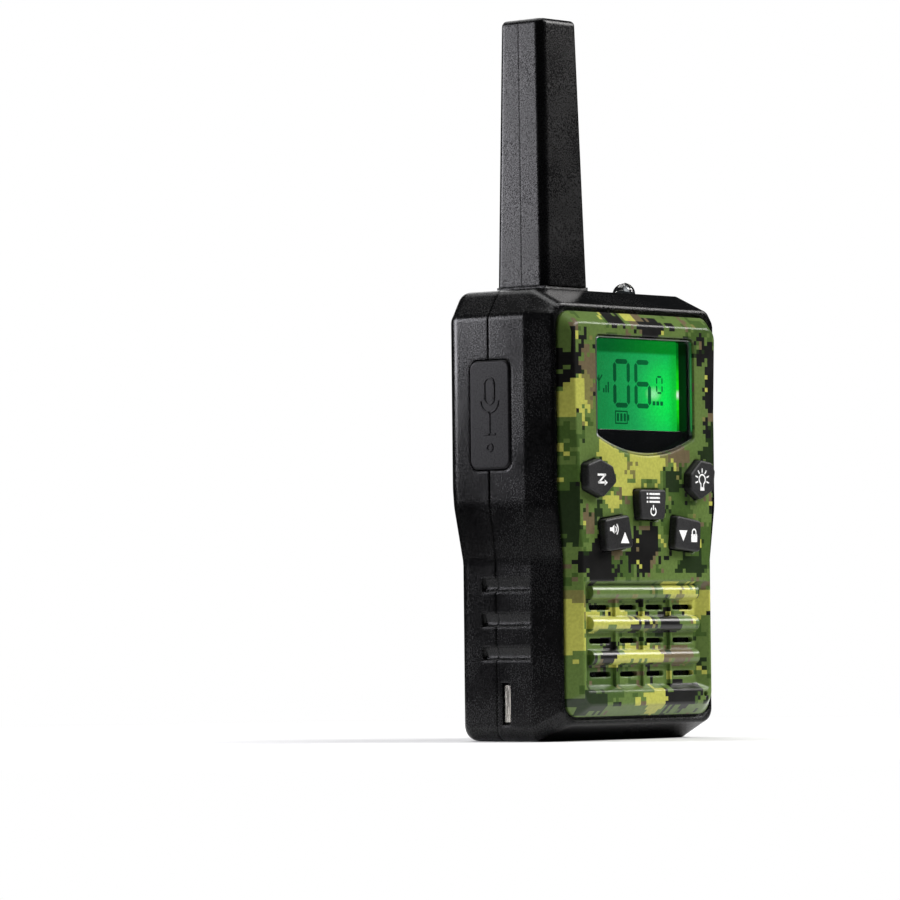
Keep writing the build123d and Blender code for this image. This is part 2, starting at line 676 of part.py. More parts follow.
with BuildPart() as ptt_button:
    with BuildSketch(Plane.YZ.offset(PTT_FACE_X)) as cap:
        with Locations((PTT_Y, PTT_Z)):
            RectangleRounded(PTT_DEEP, PTT_TALL, 2.0)
    extrude(cap.sketch, amount=-PTT_FACE_X - 25.7)
    fillet(ptt_button.faces().sort_by(Axis.X)[0].edges(), 0.5)
    with BuildSketch(Plane.YZ.offset(-25.7)) as flange:
        with Locations((PTT_Y, PTT_Z)):
            RectangleRounded(PTT_DEEP + 2.2, PTT_TALL + 2.2, 2.0)
    extrude(flange.sketch, amount=0.9)
    box_between(
        (-24.8, BOARD_BACK_Y + 1.9, 68.6),
        (-21.4 - PTT_TRAVEL - SWITCH_GAP, BOARD_BACK_Y + 3.9, 71.4),
    )

# ---- speaker and microphone ---------------------------------------------------------------

CLOTH = 0.2
speaker_front = WALL_BACK_Y + CLOTH

with BuildPart() as speaker_cloth:
    rod_y(0, SPEAKER_Z, SPEAKER_R, WALL_BACK_Y, speaker_front)

with BuildPart() as speaker_basket:
    revolved_y(
        [
            (SPEAKER_R, speaker_front),
            (SPEAKER_R, speaker_front + 1.2),
            (13.6, speaker_front + 1.2),
            (8.6, speaker_front + 3.9),
            (4.6, speaker_front + 3.9),
            (4.6, speaker_front + 3.3),
            (8.2, speaker_front + 3.3),
            (13.2, speaker_front + 0.6),
            (14.6, speaker_front + 0.6),
            (14.6, speaker_front),
        ],
        SPEAKER_Z,
    )

with BuildPart() as speaker_cone:
    revolved_y(
        [
            (14.4, speaker_front + 0.3),
            (14.4, speaker_front + 0.55),
            (12.9, speaker_front + 0.55),
            (4.2, speaker_front + 3.1),
            (0.001, speaker_front + 2.3),
            (0.001, speaker_front + 2.0),
            (4.2, speaker_front + 2.7),
            (12.9, speaker_front + 0.3),
        ],
        SPEAKER_Z,
    )

with BuildPart() as speaker_magnet:
    rod_y(0, SPEAKER_Z, 8.4, speaker_front + 3.9, speaker_front + 7.6)
    rod_y(0, SPEAKER_Z, 4.4, speaker_front + 3.4, speaker_front + 3.9)

with BuildPart() as microphone_boot:
    rod_y(MIC_X, MIC_Z, MIC_R + 0.5, WALL_BACK_Y, WALL_BACK_Y + 2.9)
    rod_y(MIC_X, MIC_Z, MIC_R, WALL_BACK_Y + 0.6, WALL_BACK_Y + 2.9, mode=Mode.SUBTRACT)
    rod_y(MIC_X, MIC_Z, 0.8, WALL_BACK_Y, WALL_BACK_Y + 0.6, mode=Mode.SUBTRACT)

with BuildPart() as microphone:
    rod_y(MIC_X, MIC_Z, MIC_R, WALL_BACK_Y + 0.6, WALL_BACK_Y + 3.3)

# ---- torch --------------------------------------------------------------------------------

with BuildPart() as torch_led:
    rod_z(LED_X, LED_Y, LED_R + 0.4, BODY_TOP - 7.4, BODY_TOP - 6.4)
    rod_z(LED_X, LED_Y, LED_R, BODY_TOP - 6.4, LED_DOME_Z)
    with Locations((LED_X, LED_Y, LED_DOME_Z)):
        Sphere(LED_R)

with BuildPart() as torch_leads:
    for side in (1, -1):
        lead_x = LED_X + side * 1.27
        lead = [
            (lead_x, LED_Y, BODY_TOP - 7.4),
            (lead_x, LED_Y, BODY_TOP - 11.5),
            (lead_x, BOARD_BACK_Y, BODY_TOP - 11.5),
        ]
        wire(lead, 1.2, 0.25)

# ---- antenna ------------------------------------------------------------------------------


def antenna_face(z, width, depth, y):
    """The antenna's section at height z: a rectangle with its four corners cut off."""
    half_x = width / 2
    half_y = depth / 2
    right = [
        (half_x - ANT_X_CUT, -half_y),
        (half_x, ANT_Y_CUT - half_y),
        (half_x, half_y - ANT_Y_CUT),
        (half_x - ANT_X_CUT, half_y),
    ]
    points = mirrored(right)
    with BuildSketch(Plane.XY.offset(z)) as face:
        with BuildLine():
            FilletPolyline([(ANT_X + px, y + py) for px, py in points], radius=ANT_EDGE, close=True)
        make_face()
    return face.sketch


with BuildPart() as antenna_cover:
    loft([antenna_face(ANT_BASE_Z, *ANT_BASE), antenna_face(ANTENNA_TOP, *ANT_TIP)], ruled=True)
    fillet(antenna_cover.faces().sort_by(Axis.Z)[-1].edges(), ANT_EDGE - 0.05)
    half = NECK / 2
    box_between(
        (ANT_X - half, ANT_BASE[2] - half, BODY_TOP - 6),
        (ANT_X + half, ANT_BASE[2] + half, ANT_BASE_Z),
    )
    bore = ANT_BORE / 2
    box_between(
        (ANT_X - bore, ANT_BASE[2] - bore, BODY_TOP - 7),
        (ANT_X + bore, ANT_BASE[2] + bore, ANT_BORE_TOP_Z),
        mode=Mode.SUBTRACT,
    )

ANT_SEAM = Plane(
    origin=(ANT_X, ANT_SEAM_Y, ANT_BASE_Z),
    x_dir=(1, 0, 0),
    z_dir=(0, ANTENNA_TOP - ANT_BASE_Z, -ANT_SEAM_LEAN),
)

with BuildPart() as antenna_front:
    add(antenna_cover.part)
    split(bisect_by=ANT_SEAM, keep=Keep.BOTTOM)

with BuildPart() as antenna_rear:
    add(antenna_cover.part)
    split(bisect_by=ANT_SEAM, keep=Keep.TOP)

with BuildPart() as antenna_core:
    rod_z(ANT_X, ANT_BASE[2], 1.6, 92, 146)
    rod_z(ANT_X, ANT_BASE[2], 2.8, 92, 94)

with BuildPart() as antenna_coil:
    coil(ANT_X, ANT_BASE[2], 98, 10, 4.2, 2.15, 0.4)

# ---- battery bay --------------------------------------------------------------------------

CELL_COLUMNS_X = [CELL_PITCH * (column - 1.5) for column in range(4)]
LOW_PLATE_Z = BAY_LOW_Z + PLATE
HIGH_PLATE_Z = BAY_HIGH_Z - PLATE
SPRING_TALL = HIGH_PLATE_Z - LOW_PLATE_Z - CELL_LONG - 0.2


def cell_piece(x, nub_up):
    """A cylindrical cell with its positive nub at one end."""
    low = LOW_PLATE_Z + SPRING_TALL if nub_up else LOW_PLATE_Z + 0.2
    body_low = low if nub_up else low + CELL_NUB
    with BuildPart() as cell:
        rod_z(x, CELL_Y, CELL_R, body_low, body_low + CELL_LONG - CELL_NUB)
        fillet(cell.edges(), 0.4)
        nub_low = body_low + CELL_LONG - CELL_NUB if nub_up else low
        rod_z(x, CELL_Y, CELL_NUB_R, nub_low, nub_low + CELL_NUB)
    return cell


cells = {}
for column, x in enumerate(CELL_COLUMNS_X):
    cells[f"battery_cell_{column + 1}"] = cell_piece(x, nub_up=column % 2 == 0)

SPRING_WIRE = 0.25
with BuildPart() as battery_springs:
    for column, x in enumerate(CELL_COLUMNS_X):
        low = LOW_PLATE_Z if column % 2 == 0 else HIGH_PLATE_Z - SPRING_TALL
        coil(x, CELL_Y, low + 0.03, 3.5, (SPRING_TALL - 2 * SPRING_WIRE - 0.06) / 3.5, 2.8, SPRING_WIRE)

with BuildPart() as battery_plates:
    for low, high in ((0, 0), (1, 2), (3, 3)):
        box_between(
            (CELL_COLUMNS_X[low] - 4.5, CELL_Y - 4.4, BAY_LOW_Z),
            (CELL_COLUMNS_X[high] + 4.5, CELL_Y + 4.4, LOW_PLATE_Z),
        )
    for low, high in ((0, 1), (2, 3)):
        box_between(
            (CELL_COLUMNS_X[low] - 4.5, CELL_Y - 4.4, HIGH_PLATE_Z),
            (CELL_COLUMNS_X[high] + 4.5, CELL_Y + 4.4, BAY_HIGH_Z),
        )

with BuildPart() as battery_door:
    add(rear_block.part)
    box_between(
        (-DOOR_HALF, DOOR_SEAT_Y, DOOR_LOW_Z),
        (DOOR_HALF, BACK_Y + 1, DOOR_HIGH_Z),
        mode=Mode.INTERSECT,
    )
    tongue = DOOR_HALF + RAIL
    box_between((-tongue, DOOR_SEAT_Y, 4), (tongue, DOOR_SEAT_Y + RAIL_THICK, BAY_HIGH_Z + 9))
    # channel that the belt clip's tip lies in
    box_between(
        (-CLIP_CHANNEL_HALF, LOW_BACK_Y, -1),
        (CLIP_CHANNEL_HALF, BACK_Y + 1, DOOR_HIGH_Z + 1),
        mode=Mode.SUBTRACT,
    )
    # hollows behind the two thick shoulders
    for side in (1, -1):
        ends = sorted((side * (CLIP_CHANNEL_HALF + 1.6), side * (DOOR_HALF - 1.6)))
        box_between(
            (ends[0], DOOR_SEAT_Y, WAIST_HIGH_Z + 6.5),
            (ends[1], BACK_Y - 1.6, DOOR_HIGH_Z - 1.5),
            mode=Mode.SUBTRACT,
        )
    # thumb rest near the bottom
    with BuildSketch(at_y(LOW_BACK_Y - 0.6)) as rest:
        with Locations((0, 20)):
            RectangleRounded(15, 11, 3)
    extrude(rest.sketch, amount=-2, mode=Mode.SUBTRACT)
    for ridge in range(4):
        ridge_z = 16.4 + 2.4 * ridge
        box_between((-5.5, LOW_BACK_Y - 0.7, ridge_z - 0.4), (5.5, LOW_BACK_Y - 0.1, ridge_z + 0.4))
    parting_groove()

# ---- belt clip ----------------------------------------------------------------------------

CLIP_OUTLINE = [
    (24.0, 93.0),
    (24.0, 80.5),
    (21.3, 72.5),
    (21.3, 46.0),
    (18.2, 40.5),
    (17.2, 36.2),
    (15.3, 37.2),
    (15.1, 40.9),
    (18.9, 47.4),
    (18.9, 71.5),
    (20.6, 80.0),
    (21.2, 87.4),
    (21.9, 93.2),
]
CLIP_CORNERS = [0.9, 4.0, 4.0, 3.0, 3.0, 0.8, 0.7, 2.0, 2.0, 4.0, 1.0, 2.0, 0.9]
SPRING_SLOT_HALF = 3.1

with BuildPart() as belt_clip:
    side_plate(CLIP_OUTLINE, CLIP_CORNERS, -CLIP_HALF, CLIP_HALF)
    with Locations(Location((0, CLIP_Y, CLIP_Z), (0, 90, 0))):
        Cylinder(CLIP_BARREL_R, 2 * CLIP_HALF)
        Cylinder(CLIP_PIN_R + CLIP_RUNNING, 2 * CLIP_HALF + 2, mode=Mode.SUBTRACT)
    box_between(
        (-SPRING_SLOT_HALF, 10, CLIP_Z - 3.6),
        (SPRING_SLOT_HALF, CLIP_Y + 1.9, CLIP_Z + 3.0),
        mode=Mode.SUBTRACT,
    )

with BuildPart() as clip_pin:
    with Locations(Location((0, CLIP_Y, CLIP_Z), (0, 90, 0))):
        Cylinder(CLIP_PIN_R, 2 * LUG_HALF)

with BuildPart() as clip_spring:
    with BuildLine() as spring_path:
        Helix(pitch=0.9, height=4.5, radius=1.6, center=(-2.25, CLIP_Y, CLIP_Z), direction=(1, 0, 0))
    with BuildSketch(Plane(spring_path.line @ 0, z_dir=spring_path.line % 0)) as spring_wire:
        Circle(0.3)
    sweep(spring_wire.sketch, path=spring_path.line, is_frenet=True)

# ---- dock contacts, wires and screws ------------------------------------------------------

with BuildPart() as charge_contacts:
    for side, top in CONTACT_TOPS_Z.items():
        face = sorted((side * (HALF_LOW - 1.0), side * (HALF_LOW - 0.45)))
        tab = sorted((side * (HALF_LOW - 2.6), side * (HALF_LOW - 1.0)))
        box_between((face[0], CONTACT_Y[0], CONTACT_LOW_Z), (face[1], CONTACT_Y[1], top))
        box_between(
            (tab[0], CONTACT_Y[0] + 0.1, TAB_LOW_Z),
            (tab[1], CONTACT_Y[0] + 0.6, TAB_HIGH_Z),
        )

with BuildPart() as speaker_wires:
    for side in (1, -1):
        lead_x = side * 5.0
        lead = [
            (lead_x, speaker_front + 1.7, SPEAKER_Z + 14.6),
            (lead_x, BOARD_BACK_Y + 2.6, SPEAKER_Z + 14.6),
            (lead_x, BOARD_BACK_Y + 2.6, BOARD_LOW_Z + 3.0),
            (lead_x, BOARD_BACK_Y, BOARD_LOW_Z + 3.0),
        ]
        wire(lead, 1.3, 0.45)

with BuildPart() as battery_wires:
    for side in (1, -1):
        lead_x = side * 17.0
        lead = [
            (lead_x, 6.0, BAY_HIGH_Z + BAY_WALL),
            (lead_x, 6.0, BAY_HIGH_Z + 5.2),
            (lead_x, -2.5, BAY_HIGH_Z + 5.2),
            (lead_x, -2.5, BAY_HIGH_Z + 9.0),
            (lead_x, BOARD_BACK_Y, BAY_HIGH_Z + 9.0),
        ]
        wire(lead, 1.8, 0.5)


def screw(x, z, seat, tip, head_r, head_tall, shank_r):
    """A self-tapping pan-head screw driven from the back, with a crossed slot."""
    rod_y(x, z, head_r, seat, seat + head_tall)
    rod_y(x, z, shank_r, tip, seat)
    for wide, tall in ((head_r * 1.3, 0.45), (0.45, head_r * 1.3)):
        box_between(
            (x - wide / 2, seat + head_tall * 0.45, z - tall / 2),
            (x + wide / 2, seat + head_tall + 0.1, z + tall / 2),
            mode=Mode.SUBTRACT,
        )


with BuildPart() as case_screws:
    for x, z in CASE_SCREWS:
        screw(x, z, SEAM_Y + (4 if x == 0 else 5), SEAM_Y - 6.5, 2.1, 1.5, 0.95)

with BuildPart() as board_screws:
    for x, z in BOARD_SCREWS:
        screw(x, z, BOARD_BACK_Y, BOARD_FRONT_Y - 3.5, 1.6, 1.0, 0.8)

# ---- export -------------------------------------------------------------------------------

pieces = {
    "front_shell": front_shell,
    "rear_shell": rear_shell,
    "front_panel": front_panel,
    "display_window": display_window,
    "display_bezel": display_bezel,
    "lcd_glass": lcd_glass,
    "lcd_connector": lcd_connector,
    "light_guide": light_guide,
    "backlight_leds": backlight_leds,
    "lcd_holder": lcd_holder,
    "key_switches": key_switches,
    "key_mat": key_mat,
    "main_board": main_board,
    "rf_shield": rf_shield,
    "radio_chips": radio_chips,
    "crystal": crystal,
    "ptt_switch": ptt_switch,
    "ptt_button": ptt_button,
    "speaker_cloth": speaker_cloth,
    "speaker_basket": speaker_basket,
    "speaker_cone": speaker_cone,
    "speaker_magnet": speaker_magnet,
    "microphone_boot": microphone_boot,
    "microphone": microphone,
    "torch_led": torch_led,
    "torch_leads": torch_leads,
    "antenna_front": antenna_front,
    "antenna_rear": antenna_rear,
    "antenna_core": antenna_core,
    "antenna_coil": antenna_coil,
    "battery_springs": battery_springs,
    "battery_plates": battery_plates,
    "battery_door": battery_door,
    "belt_clip": belt_clip,
    "clip_pin": clip_pin,
    "clip_spring": clip_spring,
    "charge_contacts": charge_contacts,
    "speaker_wires": speaker_wires,
    "battery_wires": battery_wires,
    "case_screws": case_screws,
    "board_screws": board_screws,
}
pieces.update(keys)
pieces.update(cells)

os.makedirs("parts", exist_ok=True)
for name, piece in pieces.items():
    piece.part.label = name
    export_step(piece.part, f"parts/{name}.step")
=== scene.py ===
import math

import bmesh
import bpy
from mathutils import Matrix, Vector


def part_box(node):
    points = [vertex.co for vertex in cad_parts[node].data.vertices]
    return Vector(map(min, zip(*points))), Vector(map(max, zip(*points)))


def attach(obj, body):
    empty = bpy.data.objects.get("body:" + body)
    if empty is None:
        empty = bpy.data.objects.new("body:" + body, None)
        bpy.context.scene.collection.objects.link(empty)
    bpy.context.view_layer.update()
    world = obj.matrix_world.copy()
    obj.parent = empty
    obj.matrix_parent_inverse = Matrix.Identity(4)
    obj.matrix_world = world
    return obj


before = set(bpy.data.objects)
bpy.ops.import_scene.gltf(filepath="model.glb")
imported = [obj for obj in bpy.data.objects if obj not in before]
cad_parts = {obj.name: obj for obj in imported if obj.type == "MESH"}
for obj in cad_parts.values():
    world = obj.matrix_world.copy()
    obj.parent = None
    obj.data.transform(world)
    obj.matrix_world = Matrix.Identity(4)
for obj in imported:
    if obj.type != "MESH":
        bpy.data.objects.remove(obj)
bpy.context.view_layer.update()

# The handset stands on Z = 0 and faces -Y. Lengths are in metres, and MM turns millimetres into them.
MM = 0.001

# ---- node graphs --------------------------------------------------------------------------


class Graph:
    """A material's node tree, built with short calls. Its helpers return output sockets."""

    def __init__(self, name):
        self.material = bpy.data.materials.new(name)
        self.material.use_nodes = True
        self.tree = self.material.node_tree
        self.tree.nodes.clear()

    def add(self, kind, inputs=None, **settings):
        """A node whose inputs are given by name or number, as values or as other nodes' sockets."""
        node = self.tree.nodes.new("ShaderNode" + kind)
        for key, value in settings.items():
            setattr(node, key, value)
        for key, value in (inputs or {}).items():
            if isinstance(value, bpy.types.NodeSocket):
                self.tree.links.new(value, node.inputs[key])
            else:
                node.inputs[key].default_value = value
        return node

    def place(self):
        """The point in the object's frame, in metres."""
        return self.add("TexCoord").outputs["Object"]

    def facing(self):
        """The three parts of the surface's direction in the object's frame."""
        normal = self.add("TexCoord").outputs["Normal"]
        return self.add("SeparateXYZ", {0: normal}).outputs

    def parts(self, vector):
        return self.add("SeparateXYZ", {0: vector}).outputs

    def vector(self, operation, a, b):
        return self.add("VectorMath", {0: a, 1: b}, operation=operation).outputs[0]

    def math(self, operation, a, b=0.0, clamp=False):
        node = self.add("Math", {0: a, 1: b}, operation=operation)
        node.use_clamp = clamp
        return node.outputs[0]

    def noise(self, place, scale, detail=2.0, roughness=0.5):
        inputs = {"Vector": place, "Scale": scale, "Detail": detail, "Roughness": roughness}
        return self.add("TexNoise", inputs).outputs["Fac"]

    def spread(self, value, low, high, new_low=0.0, new_high=1.0, smooth=True):
        """value carried from low..high to new_low..new_high, and held at the ends."""
        inputs = {"Value": value, "From Min": low, "From Max": high, "To Min": new_low, "To Max": new_high}
        steps = "SMOOTHSTEP" if smooth else "LINEAR"
        return self.add("MapRange", inputs, interpolation_type=steps).outputs["Result"]

    def mix(self, share, a, b):
        """Colour a where share is 0, and b where it is 1."""
        node = self.add("Mix", {0: share}, data_type="RGBA")
        for socket, value in ((node.inputs[6], a), (node.inputs[7], b)):
            if isinstance(value, bpy.types.NodeSocket):
                self.tree.links.new(value, socket)
            else:
                socket.default_value = (*value, 1.0)
        return node.outputs[2]

    def bump(self, height, depth, normal=None):
        inputs = {"Height": height, "Distance": depth, "Strength": 1.0}
        if normal is not None:
            inputs["Normal"] = normal
        return self.add("Bump", inputs).outputs[0]

    def soft_edge(self, radius):
        return self.add("Bevel", {"Radius": radius}, samples=4).outputs[0]

    def edge_share(self, radius):
        """0 on flat faces, and up to 1 along sharp edges."""
        flat = self.add("NewGeometry").outputs["Normal"]
        same = self.add("VectorMath", {0: self.soft_edge(radius), 1: flat}, operation="DOT_PRODUCT")
        return self.spread(same.outputs["Value"], 0.995, 0.9)

    def finish(self, shader):
        self.add("OutputMaterial", {"Surface": shader})
        return self.material


def principled(graph, **inputs):
    """A Principled shader; an input's spaces are written as underscores."""
    node = graph.add("BsdfPrincipled")
    for key, value in inputs.items():
        socket = node.inputs[key.replace("_", " ")]
        if isinstance(value, bpy.types.NodeSocket):
            graph.tree.links.new(value, socket)
        elif isinstance(value, tuple) and len(value) == 3:
            socket.default_value = (*value, 1.0)
        else:
            socket.default_value = value
    return node.outputs[0]


# ---- materials ----------------------------------------------------------------------------


def moulded(
    name,
    colour,
    roughness,
    grain=3300,
    depth=0.05 * MM,
    edge=0.3 * MM,
    specular=0.5,
    worn=2.2,
    sparkle=0.3,
):
    """Moulded plastic with a spark-eroded grain, cloudy gloss, and edges rubbed a little paler.

    sparkle is how much the grain's peaks and pits differ in gloss.
    """
    g = Graph(name)
    place = g.place()
    fine = g.noise(place, grain, detail=2.0, roughness=0.6)
    cloud = g.noise(place, 70, detail=4.0)
    pale = tuple(min(1.0, channel * worn + 0.004) for channel in colour)
    tone = g.mix(g.spread(cloud, 0.35, 0.7), colour, tuple(channel * 1.35 for channel in colour))
    rubbed = g.math("MULTIPLY", g.edge_share(edge), g.spread(g.noise(place, 900), 0.35, 0.7, 0.3, 1.0))
    tone = g.mix(rubbed, tone, pale)
    rough = g.math("ADD", g.spread(cloud, 0.3, 0.7, roughness - 0.05, roughness + 0.05),
                   g.spread(fine, 0.3, 0.7, -0.06, 0.08))
    shader = principled(
        g,
        Base_Color=tone,
        Roughness=rough,
        Specular_IOR_Level=g.spread(fine, 0.3, 0.7, specular * (1 - sparkle), specular * (1 + sparkle)),
        Normal=g.bump(fine, depth, g.soft_edge(edge)),
    )
    return g.finish(shader)


CAMO_CELL = 0.92 * MM  # side of one printed square
STRAY = 0.3  # how much the stray squares count beside the patches
CAMO_GREEN = (0.120, 0.190, 0.046)
CAMO_MOSS = (0.060, 0.112, 0.023)
CAMO_DEEP = (0.015, 0.030, 0.008)
CAMO_BROWN = (0.155, 0.120, 0.064)
CAMO_CHARCOAL = (0.008, 0.0078, 0.0075)
CAMO_YELLOW = (0.50, 0.505, 0.10)
CAMO_OLIVE = (0.21, 0.198, 0.062)

# Where the large patches of each tone lie: centre X and Z, then half width and half height, in mm
MOSS_PATCHES = [
    (-24, 62, 3, 5),
    (10, 50, 5, 7),
    (20, 42, 4, 7),
    (-8, 37, 5, 4),
    (18, 88, 4, 4),
    (-12, 13, 8, 4),
]
DEEP_PATCHES = [(-25, 48, 3, 6), (9, 56, 3, 2.5), (21, 62, 2.5, 3.5), (14, 37, 4, 2), (-18, 8, 5, 3)]
BROWN_PATCHES = [
    (-18.8, 77, 3, 5),
    (9, 60.5, 5, 1.6),
    (23, 69, 2, 3),
    (8, 18, 8, 2),
    (-20, 46, 2, 3),
    (-2, 90, 4, 1.5),
]
CHARCOAL_PATCHES = [
    (22, 79, 4, 7),
    (-23.5, 80, 2.6, 5),
    (-1, 41, 6, 5),
    (-16, 38, 6, 4.5),
    (3, 89, 7, 2),
    (-9, 90, 3.2, 2.2),
    (6, 25, 11, 2.2),
    (-12, 18, 3, 3),
    (24, 50, 2.5, 4),
    (12, 9, 6, 3),
]
OLIVE_PATCHES = [
    (-20.5, 73, 2, 5),
    (-6, 57, 3, 2),
    (4, 60, 4, 1.5),
    (-22, 28, 2, 4),
    (0, 24.9, 6, 1.5),
    (14, 30, 4, 2),
]
YELLOW_PATCHES = [
    (-23.5, 71.5, 4, 5.5),
    (-14.5, 62, 3, 2.2),
    (-10, 58.5, 3.4, 3),
    (-8.5, 54.5, 4, 3),
    (-11.5, 51, 3, 1.6),
    (0, 58.5, 6, 3.6),
    (-24, 23, 3.6, 6.5),
    (-12, 25.2, 11, 2.2),
    (-3, 18, 7, 2.2),
    (17, 29, 3.6, 4),
    (10, 32, 4, 1.6),
    (-4.5, 91, 1.6, 1.6),
    (2, 8, 5, 2.5),
]


def patch_share(g, place, patches):
    """1 at the middle of each patch, falling to 0 at its edge and below 0 outside."""
    share = None
    for x, z, half_x, half_z in patches:
        offset = g.vector("SUBTRACT", place, (x * MM, 0, z * MM))
        scaled = g.vector("MULTIPLY", offset, (1 / (half_x * MM), 0, 1 / (half_z * MM)))
        distance = g.add("VectorMath", {0: scaled}, operation="LENGTH").outputs["Value"]
        near = g.math("SUBTRACT", 1.0, distance)
        share = near if share is None else g.math("MAXIMUM", share, near)
    return g.math("MAXIMUM", share, -0.6)


def camo_layer(g, place, seed, patches, noise_share, limit):
    """Where one tone is printed: its patches with ragged square edges, and stray squares between."""
    moved = g.vector("ADD", place, (0, seed, 0))
    ragged = g.noise(g.vector("MULTIPLY", moved, (1, 1, 0.75)), 210, detail=3.0, roughness=0.72)
    ragged = g.spread(ragged, 0.25, 0.75, -1.0, 1.0, smooth=False)
    stray = g.add("TexWhiteNoise", {"Vector": moved}).outputs["Value"]
    field = g.math("ADD", patch_share(g, place, patches), g.math("MULTIPLY", ragged, noise_share))
    field = g.math("ADD", field, g.math("MULTIPLY", stray, STRAY))
    return g.math("GREATER_THAN", field, limit + STRAY / 2)


def camouflage():
    """Glossy faceplate printed with a camouflage of small squares, under a clear coat."""
    g = Graph("camouflage_gloss")
    place = g.place()
    flat = g.vector("MULTIPLY", place, (1, 0, 1))
    cell = g.vector("SNAP", flat, (CAMO_CELL, CAMO_CELL, CAMO_CELL))
    layers = [  # seed, patches, share of ragged noise, limit above which it prints, colour
        (0.11, MOSS_PATCHES, 1.3, -0.05, CAMO_MOSS),
        (0.37, BROWN_PATCHES, 1.25, 0.04, CAMO_BROWN),
        (0.23, DEEP_PATCHES, 1.25, 0.02, CAMO_DEEP),
        (0.67, OLIVE_PATCHES, 1.1, 0.16, CAMO_OLIVE),
        (0.41, CHARCOAL_PATCHES, 1.15, 0.06, CAMO_CHARCOAL),
        (0.59, YELLOW_PATCHES, 1.1, 0.1, CAMO_YELLOW),
    ]
    tone = CAMO_GREEN
    for seed, patches, noise_share, limit, colour in layers:
        tone = g.mix(camo_layer(g, cell, seed, patches, noise_share, limit), tone, colour)
    ink = g.spread(g.noise(place, 1500, detail=3.0), 0.3, 0.7, 0.9, 1.08)
    printed = g.add("Mix", {0: 1.0, 6: tone}, data_type="RGBA", blend_type="MULTIPLY")
    shade = g.add("CombineColor", {0: ink, 1: ink, 2: ink}).outputs[0]
    g.tree.links.new(shade, printed.inputs[7])
    wave = g.noise(place, 120, detail=1.0)
    rim = g.soft_edge(0.6 * MM)
    shader = principled(
        g,
        Base_Color=printed.outputs[2],
        Roughness=g.spread(g.noise(place, 260, detail=3.0), 0.3, 0.7, 0.34, 0.46),
        Specular_IOR_Level=0.12,
        Coat_Weight=0.62,
        Coat_Roughness=g.spread(g.noise(place, 45, detail=3.0), 0.35, 0.65, 0.06, 0.12),
        Coat_Normal=g.bump(wave, 0.02 * MM, rim),
        Normal=rim,
    )
    return g.finish(shader)


def clear_lens():
    """Acrylic lens: clear on its faces, with a polished bevel that catches the light."""
    g = Graph("clear_lens")
    place = g.place()
    scratches = g.noise(g.vector("MULTIPLY", place, (1, 1, 0.15)), 1400, detail=3.0)
    across = g.math("ABSOLUTE", g.facing()["Y"])
    bevel = g.spread(across, 0.93, 0.8)
    shine = g.add("BsdfGlossy", {"Roughness": g.spread(scratches, 0.4, 0.75, 0.02, 0.09)}).outputs[0]
    clear = g.add("BsdfTransparent", {"Color": (0.93, 0.97, 0.94, 1)}).outputs[0]
    fresnel = g.add("Fresnel", {"IOR": 1.49}).outputs[0]
    outside = g.math("SUBTRACT", 1.0, g.add("NewGeometry").outputs["Backfacing"])
    face = g.add("MixShader", {0: g.math("MULTIPLY", fresnel, outside), 1: clear, 2: shine}).outputs[0]
    polished = principled(g, Base_Color=(0.55, 0.57, 0.57), Roughness=0.14, Metallic=0.7)
    return g.finish(g.add("MixShader", {0: bevel, 1: face, 2: polished}).outputs[0])


def bezel_gloss():
    """Polished black plastic with fine dust and cloudy gloss."""
    g = Graph("bezel_gloss")
    place = g.place()
    dust = g.spread(g.noise(place, 5200, detail=1.0), 0.74, 0.8, 0.0, 0.35)
    cloud = g.noise(place, 110, detail=3.0)
    shader = principled(
        g,
        Base_Color=g.mix(dust, (0.004, 0.004, 0.005), (0.05, 0.05, 0.05)),
        Roughness=g.spread(cloud, 0.3, 0.7, 0.084, 0.18),
        Normal=g.soft_edge(0.2 * MM),
    )
    return g.finish(shader)


# Display: what the backlight looks like, as emission, with a painted shadow along its top
GLOW_DIM = (0.006, 0.235, 0.060)
GLOW_MID = (0.010, 0.42, 0.105)
GLOW_HOT = (0.004, 0.88, 0.10)
GLOW_CORE = (0.45, 1.0, 0.55)
# dim glow left under the painted shadow along the top of the display
PAINTED_SHADOW_GLOW = (0.001, 0.115, 0.022)
GLOW_X, GLOW_Z = 12.0 * MM, 73.9 * MM  # middle of the bright side
LAMP_X, LAMP_Z = 7.6 * MM, GLOW_Z + 0.9 * MM  # the lamp's spot in it
SHADOW_LOW, SHADOW_HIGH = 83.1 * MM, 83.9 * MM  # where the painted shadow along the top sets in


def round_glow(g, place, x, z, half_x, half_z):
    """1 at a point of the display, falling smoothly to 0 at an ellipse round it."""
    offset = g.vector("SUBTRACT", place, (x, 0, z))
    scaled = g.vector("MULTIPLY", offset, (1 / half_x, 0, 1 / half_z))
    distance = g.add("VectorMath", {0: scaled}, operation="LENGTH").outputs["Value"]
    return g.spread(distance, 1.0, 0.0)


